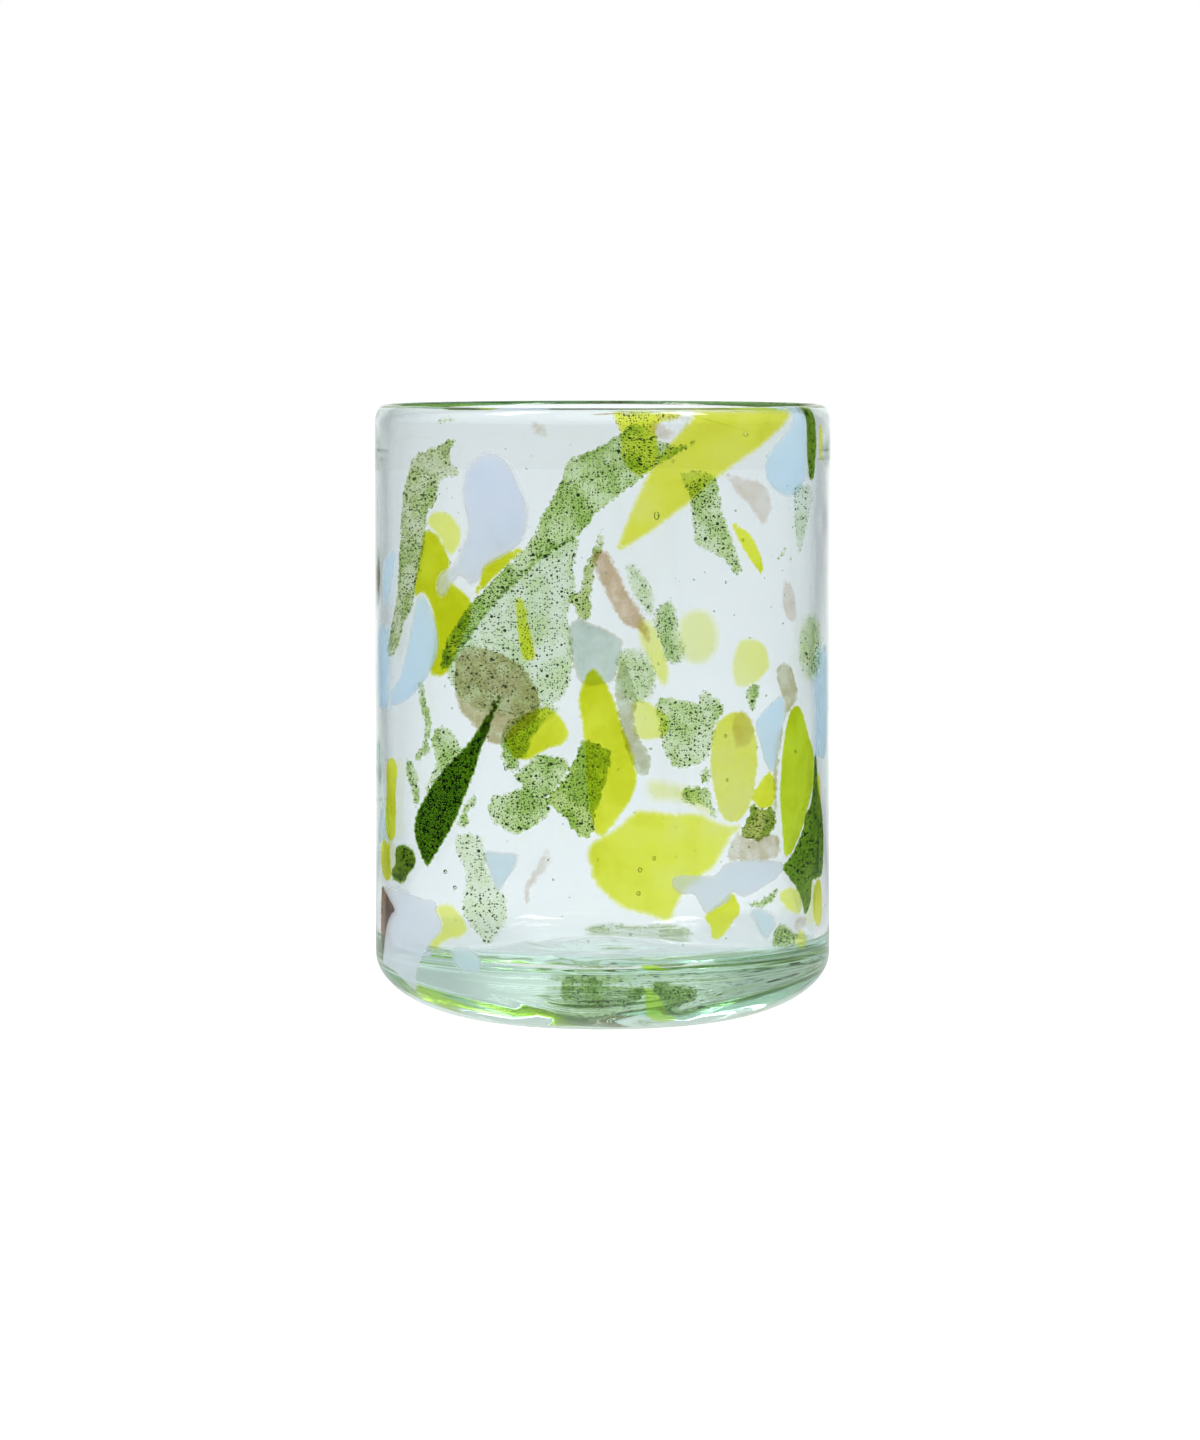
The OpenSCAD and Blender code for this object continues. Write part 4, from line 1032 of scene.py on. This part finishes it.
@dataclass
class Vessel:
    """The clear body: one spun wall, base, heel, foot and lip, with the waves of blown glass.

    A swirl is a wave that winds round the axis: its strength, how often it goes round, where it
    starts, and how it winds outwards, in radians to the metre.
    """

    profile: BlownProfile
    waves: HandWaves
    steps: int = 300
    ripple: float = 0.11 * MM
    ripple_pitch: float = 4.5 * MM
    ripple_reach: float = 16 * MM
    ripple_start: float = 2 * MM
    ripple_bends: tuple[Four, ...] = ((0.9, 2, 0.7, 0), (0.6, 3, 0, 90))
    ripple_cross: Four = (0.25, 4, 0, 260)
    foot_wave: float = 0.01 * MM
    foot_swirl: Four = (1, 2, 0, 300)
    foot_start: float = MM
    foot_share: float = 0.3
    pontil_share: float = 0.9
    still: float = 2 * MM
    still_over: float = 12 * MM

    def build(self) -> Piece:
        """Spins the section and shapes its surfaces.

        Returns:
            The clear body.
        """
        section = self.profile.section()
        deselect_all()
        bpy.ops.mesh.primitive_circle_add(
            vertices=len(section), radius=self.profile.radius, fill_type="NOTHING"
        )
        piece = bpy.context.object
        piece.name = piece.data.name = "clear_glass_body"
        move_vertices(piece, np.array([(radius, 0, z) for radius, z in section]))
        self._open_on_axis(piece)
        bpy.ops.object.mode_set(mode="EDIT")
        bpy.ops.mesh.select_all(action="SELECT")
        bpy.ops.mesh.spin(
            steps=self.steps, angle=FULL_TURN, center=(0, 0, 0), axis=(0, 0, 1), dupli=False
        )
        bpy.ops.mesh.select_all(action="SELECT")
        bpy.ops.mesh.remove_doubles(threshold=WELD)
        bpy.ops.mesh.normals_make_consistent(inside=False)
        bpy.ops.object.mode_set(mode="OBJECT")
        move_vertices(piece, self._waved(coordinates(piece)))
        bpy.ops.object.shade_smooth()
        return piece

    @staticmethod
    def _open_on_axis(piece: Piece) -> None:
        """Deletes the section's edge that lies on the axis.

        Args:
            piece: The closed section, as a ring of edges.
        """
        for edge in piece.data.edges:
            ends = [piece.data.vertices[i].co for i in edge.vertices]
            edge.select = all(abs(p.x) < 0.5 * WELD for p in ends)
        for vertex in piece.data.vertices:
            vertex.select = False
        bpy.ops.object.mode_set(mode="EDIT")
        bpy.ops.mesh.select_mode(type="EDGE")
        bpy.ops.mesh.delete(type="EDGE_FACE")
        bpy.ops.mesh.select_mode(type="VERT")
        bpy.ops.object.mode_set(mode="OBJECT")

    @staticmethod
    def _swirl(swirl: Four, turn: Array, radius: Array) -> Array:
        """Gives a swirl's height at places round and out from the axis."""
        strength, times_round, start, winding = swirl
        return strength * np.sin(times_round * turn + start + winding * radius)

    def _waved(self, places: Array) -> Array:
        """Adds the outer and inner waves, the floor's ripples and the uneven foot.

        Args:
            places: The spun vertices.

        Returns:
            The shaped vertices.
        """
        shape = self.profile
        radius = np.hypot(places[:, 0], places[:, 1])
        turn = np.arctan2(places[:, 0], -places[:, 1])
        z = places[:, 2].copy()
        outer = (radius > shape.radius - 0.5 * shape.wall) | (z < 0.5 * shape.base)
        inner_swell = self.waves.inner * self.waves.field(turn, z, 1)
        inner_swell += self.waves.dents(turn, z, shape.inner_radius, shape.height)
        lip = np.clip((shape.height - z) / shape.bead_height, 0, 1)
        above = np.clip((z - shape.base - self.still) / self.still_over, 0, 1)
        swell = np.where(outer, self.waves.skin(turn, z), inner_swell * lip * above)
        on_floor = ~outer & (radius < shape.floor_radius)
        swell[on_floor] = 0
        places[:, 0] += swell * np.sin(turn)
        places[:, 1] -= swell * np.cos(turn)
        reach = np.clip(1 - radius / self.ripple_reach, 0, 1)
        hold = np.sqrt(reach) * np.clip(radius / self.ripple_start, 0, 1)
        bend = sum(self._swirl(swirl, turn, radius) for swirl in self.ripple_bends)
        rings = np.sin(FULL_TURN * radius / self.ripple_pitch + bend)
        rings += self._swirl(self.ripple_cross, turn, radius)
        places[on_floor, 2] += (self.ripple * hold * rings)[on_floor]
        under = z < self.foot_share * shape.heel_height
        under &= radius < self.pontil_share * shape.pontil_radius
        lift = self.foot_wave * (1 + self._swirl(self.foot_swirl, turn, radius)) / 2
        places[under, 2] += (lift * np.clip(radius / self.foot_start, 0, 1))[under]
        return places


@dataclass
class Bubbles:
    """Air bubbles in the wall: many tiny ones by the dice, and a few large ones.

    A large one is given by its degrees round, its share of the height, and half its width and
    half its height in millimetres.
    """

    profile: BlownProfile
    seed: int = 5
    tiny: int = 260
    size: Pair = (0.09 * MM, 0.24 * MM)
    stretch: Pair = (0.8, 1.6)
    low_share: float = 1.2
    high_share: float = 0.5
    sunk: float = 0.72
    thickest: float = 0.4 * MM
    large: tuple[Four, ...] = (
        (-16.2, 0.771, 0.55, 0.6), (-27.3, 0.79, 0.42, 0.85), (13.6, 0.832, 0.5, 0.75),
        (38.6, 0.957, 0.5, 0.35), (17.8, 0.917, 0.25, 0.3), (13, 0.292, 0.3, 0.4),
        (9.4, 0.274, 0.38, 0.45), (9, 0.237, 0.38, 0.45), (32.5, 0.482, 0.28, 0.36),
        (57.8, 0.449, 0.35, 0.3), (-25, 0.432, 0.3, 0.42), (-43.6, 0.262, 0.42, 0.4),
        (-40.4, 0.238, 0.4, 0.38), (37.7, 0.791, 0.3, 0.36), (33, 0.412, 0.25, 0.3),
    )

    def build(self) -> Piece:
        """Sets every bubble in the middle of the wall, as one piece.

        Returns:
            The bubbles.
        """
        dice = random.Random(self.seed)
        shape = self.profile
        parts = [
            self._bubble(math.radians(turn), share * shape.height, wide * MM, tall * MM)
            for turn, share, wide, tall in self.large
        ]
        least, most = self.size
        bottom = self.low_share * shape.heel_height
        top = shape.height - self.high_share * shape.bead_height
        for _ in range(self.tiny):
            wide = least + (most - least) * dice.random() ** 2
            turn = dice.uniform(-math.pi, math.pi)
            z = dice.uniform(bottom, top)
            parts.append(self._bubble(turn, z, wide, wide * dice.uniform(*self.stretch)))
        piece = joined(parts, "air_bubbles")
        bpy.ops.object.transform_apply(location=True, rotation=True, scale=True)
        bpy.ops.object.shade_smooth()
        return piece

    def _bubble(self, turn: float, z: float, wide: float, tall: float) -> Piece:
        """Adds one bubble as a stretched ball.

        Args:
            turn: Angle round the glass, in radians.
            z: Height above the table.
            wide: Half its width.
            tall: Half its height.

        Returns:
            The ball.
        """
        deselect_all()
        middle = self.profile.radius - self.sunk * self.profile.wall
        bpy.ops.mesh.primitive_ico_sphere_add(
            subdivisions=2,
            radius=1,
            location=(middle * math.sin(turn), -middle * math.cos(turn), z),
            rotation=(0, 0, turn),
            scale=(wide, min(wide, self.thickest), tall),
        )
        return bpy.context.object


@dataclass(frozen=True)
class PhotoView:
    """The camera that the photograph's outline gives, for its 1200 by 1440 frame."""

    frame_height_px: float = 1440
    frame_middle_px: float = 600
    axis_px: float = 602.6
    focal_px: float = 5772
    sensor_mm: float = 36
    distance: float = 962.7 * MM
    height: float = 119.3 * MM
    tilt_deg: float = 4.137
    clip: Pair = (0.01, 100)

    def build(self) -> None:
        """Adds the camera and makes it the scene's."""
        deselect_all()
        bpy.ops.object.camera_add(
            location=(0, -self.distance, self.height),
            rotation=(math.radians(90 - self.tilt_deg), 0, 0),
        )
        camera = bpy.context.object
        camera.name = "photo_camera"
        lens = camera.data
        lens.sensor_width = self.sensor_mm
        lens.lens = self.focal_px / self.frame_height_px * self.sensor_mm
        lens.shift_x = (self.frame_middle_px - self.axis_px) / self.frame_height_px
        lens.clip_start, lens.clip_end = self.clip
        bpy.context.scene.camera = camera


@dataclass(frozen=True)
class Studio:
    """A pale floor, a room that is white behind the glass, and soft lamps.

    What the glass shows or mirrors is white behind it, by the cosine of the angle (side_...),
    dark in front and at the sides (front_...), and part white above, by the sine of the height
    (ceiling_...), and on the floor nearby, by the distance from the axis (near_..., far_...).
    """

    floor_size: float = 30.0
    floor_level: float = -0.03 * MM
    paper: Colour = (0.92, 0.92, 0.92)
    shadow_colour: Colour = (0.3, 0.3, 0.3)
    glow: float = 0.78
    # painted pool of light: the paper glows brighter right under the glass than beside it
    painted_glow_under_glass: float = 0.85
    under_glass: float = 0.032
    beside_glass: float = 0.045
    near_share: float = 0.6
    near_end: float = 0.08
    far_start: float = 0.35
    side_grey: Colour = (0.95, 0.975, 1.0)
    diffuse_level: float = 0.95
    front_through: Colour = (0.64, 0.67, 0.68)
    front_mirrored: Colour = (0.06, 0.07, 0.07)
    side_start: float = 0.85
    side_end: float = 0.997
    ceiling_start: float = 0.25
    ceiling_end: float = 0.6
    ceiling_share: float = 0.5
    lamps: tuple[tuple[str, Colour, Pair, float], ...] = (
        ("left_softbox", (-0.71, -0.34, 1.2), (0.3, 0.6), 5.5),
        ("right_softbox", (0.64, -0.4, 1.22), (0.3, 0.6), 5.5),
        ("front_softbox", (0, -1.5, 1.3), (1.4, 1.0), 2.5),
    )
    lamp_aim: Colour = (0, 0, 0.05)

    def build(self) -> None:
        """Adds the floor, the world and the lamps."""
        deselect_all()
        bpy.ops.mesh.primitive_plane_add(size=self.floor_size, location=(0, 0, self.floor_level))
        floor = bpy.context.object
        floor.name = "studio_floor"
        floor.data.materials.append(self._paper())
        self._world()
        for lamp in self.lamps:
            self._lamp(*lamp)

    def _paper(self) -> bpy.types.Material:
        """Makes the floor's white paper, which keeps the glass's shadow, with a painted pool of
        light: it glows brighter right under the glass.

        Returns:
            The material.
        """
        nodes = Nodes.material("studio_paper")
        away = nodes.vector("LENGTH", nodes.place()).outputs["Value"]
        # Painted pool of light: the glow is raised under the glass and falls to the plain glow
        # beside it.
        glow = nodes.span(away, self.under_glass, self.beside_glass, self.painted_glow_under_glass, self.glow)
        white = nodes.add("Emission", {"Strength": glow})
        shade = nodes.add("BsdfDiffuse", {"Color": self.shadow_colour})
        shown = nodes.add("AddShader", {0: white, 1: shade})
        paper = nodes.add("BsdfDiffuse", {"Color": self.paper})
        return self._by_ray(nodes, "Emission", paper, shown)

    def _world(self) -> None:
        """Lights the room evenly, and shows white to the camera and through the glass."""
        world = bpy.data.worlds.new("studio_light")
        bpy.context.scene.world = world
        nodes = Nodes(world, "OutputWorld")
        even = {"Color": self.side_grey, "Strength": self.diffuse_level}
        light = nodes.add("Background", even)
        self._by_ray(nodes, "Background", light, nodes.add("Background", {"Color": WHITE}))

    def _by_ray(self, nodes: Nodes, shine: str, plain: Node, shown: Node) -> Owner:
        """Shows the room by the kind of ray that has come, and plain light to scattered rays.

        Args:
            nodes: The layout of the floor or the world.
            shine: The type of node that shines in one colour there.
            plain: What lights the scene.
            shown: What the camera sees.

        Returns:
            The finished material or world.
        """
        behind = self._behind(nodes)
        seen = plain
        for ray, front in (
            ("Is Glossy Ray", self.front_mirrored),
            ("Is Transmission Ray", self.front_through),
        ):
            side = nodes.mix(behind, nodes.add(shine, {"Color": front}), shown)
            seen = nodes.mix(nodes.ray(ray), seen, side)
        seen = nodes.mix(nodes.ray("Is Camera Ray"), seen, shown)
        scattered = nodes.sums("GREATER_THAN", nodes.ray("Diffuse Depth"), 0.5)
        return nodes.finish(nodes.mix(scattered, seen, plain))

    def _behind(self, nodes: Nodes) -> Node:
        """Tells where the room is white: behind the glass, above it and on the floor near it.

        Args:
            nodes: The layout of the floor or the world.

        Returns:
            From 0 far in front and at the sides to 1 where all is white.
        """
        world = nodes.owner == bpy.context.scene.world
        place = nodes.place("Generated" if world else "Object")
        level = nodes.vector("MULTIPLY", place, (1, 1, 0))
        forward = nodes.part(nodes.vector("NORMALIZE", level), "Y")
        behind = nodes.span(forward, self.side_start, self.side_end, 0, 1)
        if world:
            height = nodes.part(place, "Z")
            plain = nodes.span(height, self.ceiling_start, self.ceiling_end, 0, self.ceiling_share)
        else:
            away = nodes.vector("LENGTH", level).outputs["Value"]
            plain = nodes.span(away, self.near_end, self.far_start, self.near_share, 0)
        return nodes.sums("MAXIMUM", behind, plain)

    def _lamp(self, name: str, place: Colour, size: Pair, power: float) -> None:
        """Adds one area lamp that faces the glass.

        Args:
            name: Its name.
            place: Where it hangs.
            size: Its width and height.
            power: Its power in watts.
        """
        deselect_all()
        bpy.ops.object.light_add(type="AREA", location=place)
        lamp = bpy.context.object
        lamp.name = name
        lamp.data.shape = "RECTANGLE"
        lamp.data.size, lamp.data.size_y = size
        lamp.data.energy = power
        x, y, z = np.array(self.lamp_aim) - np.array(place)
        tilt = math.atan2(math.hypot(x, y), -z)
        lamp.rotation_euler = (tilt, 0, math.atan2(y, x) - math.pi / 2)


def dress(piece: Piece, material: bpy.types.Material, slot: str, *nodes: str) -> None:
    """Gives a piece its finish, hangs it under the root and hides the solids that it stands for.

    Args:
        piece: The finished piece.
        material: Its material.
        slot: The record's material slot; not used.
        *nodes: The solids that it replaces.
    """
    piece.data.materials.clear()
    piece.data.materials.append(material)
    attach(piece, ROOT)
    if nodes:
        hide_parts(*nodes)
    LOG.info("%s: %d faces", piece.name, len(piece.data.polygons))


def main() -> None:
    """Builds the view, the vessel, its chips and bubbles, and the studio, in that order."""
    logging.basicConfig(level=logging.INFO, format="%(name)s: %(message)s")
    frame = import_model()
    PhotoView().build()
    scene = bpy.context.scene
    scene.view_settings.view_transform = "Standard"
    cycles = scene.cycles
    cycles.max_bounces = cycles.transparent_max_bounces = BOUNCES
    cycles.transmission_bounces = cycles.glossy_bounces = BOUNCES
    _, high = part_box(BODY)
    profile = BlownProfile(radius=high.y, height=high.z)
    waves = HandWaves()
    dress(Vessel(profile, waves).build(), ClearGlass().material(), "clear_glass", BODY)
    materials = {hue: finish.material() for hue, finish in FINISHES.items()}
    for name, node in frame["nodes"].items():
        if name != BODY:
            hue = Hue.of(name)
            ragged = FINISHES[hue].ragged * MM
            chip = Chip(node, profile, waves, LOOKS.get(name, Look()), ragged)
            dress(chip.build(), materials[hue], hue.slot, name)
    dress(Bubbles(profile).build(), BubbleGlass().material(), "clear_glass")
    Studio().build()


if __name__ == "__main__":
    main()
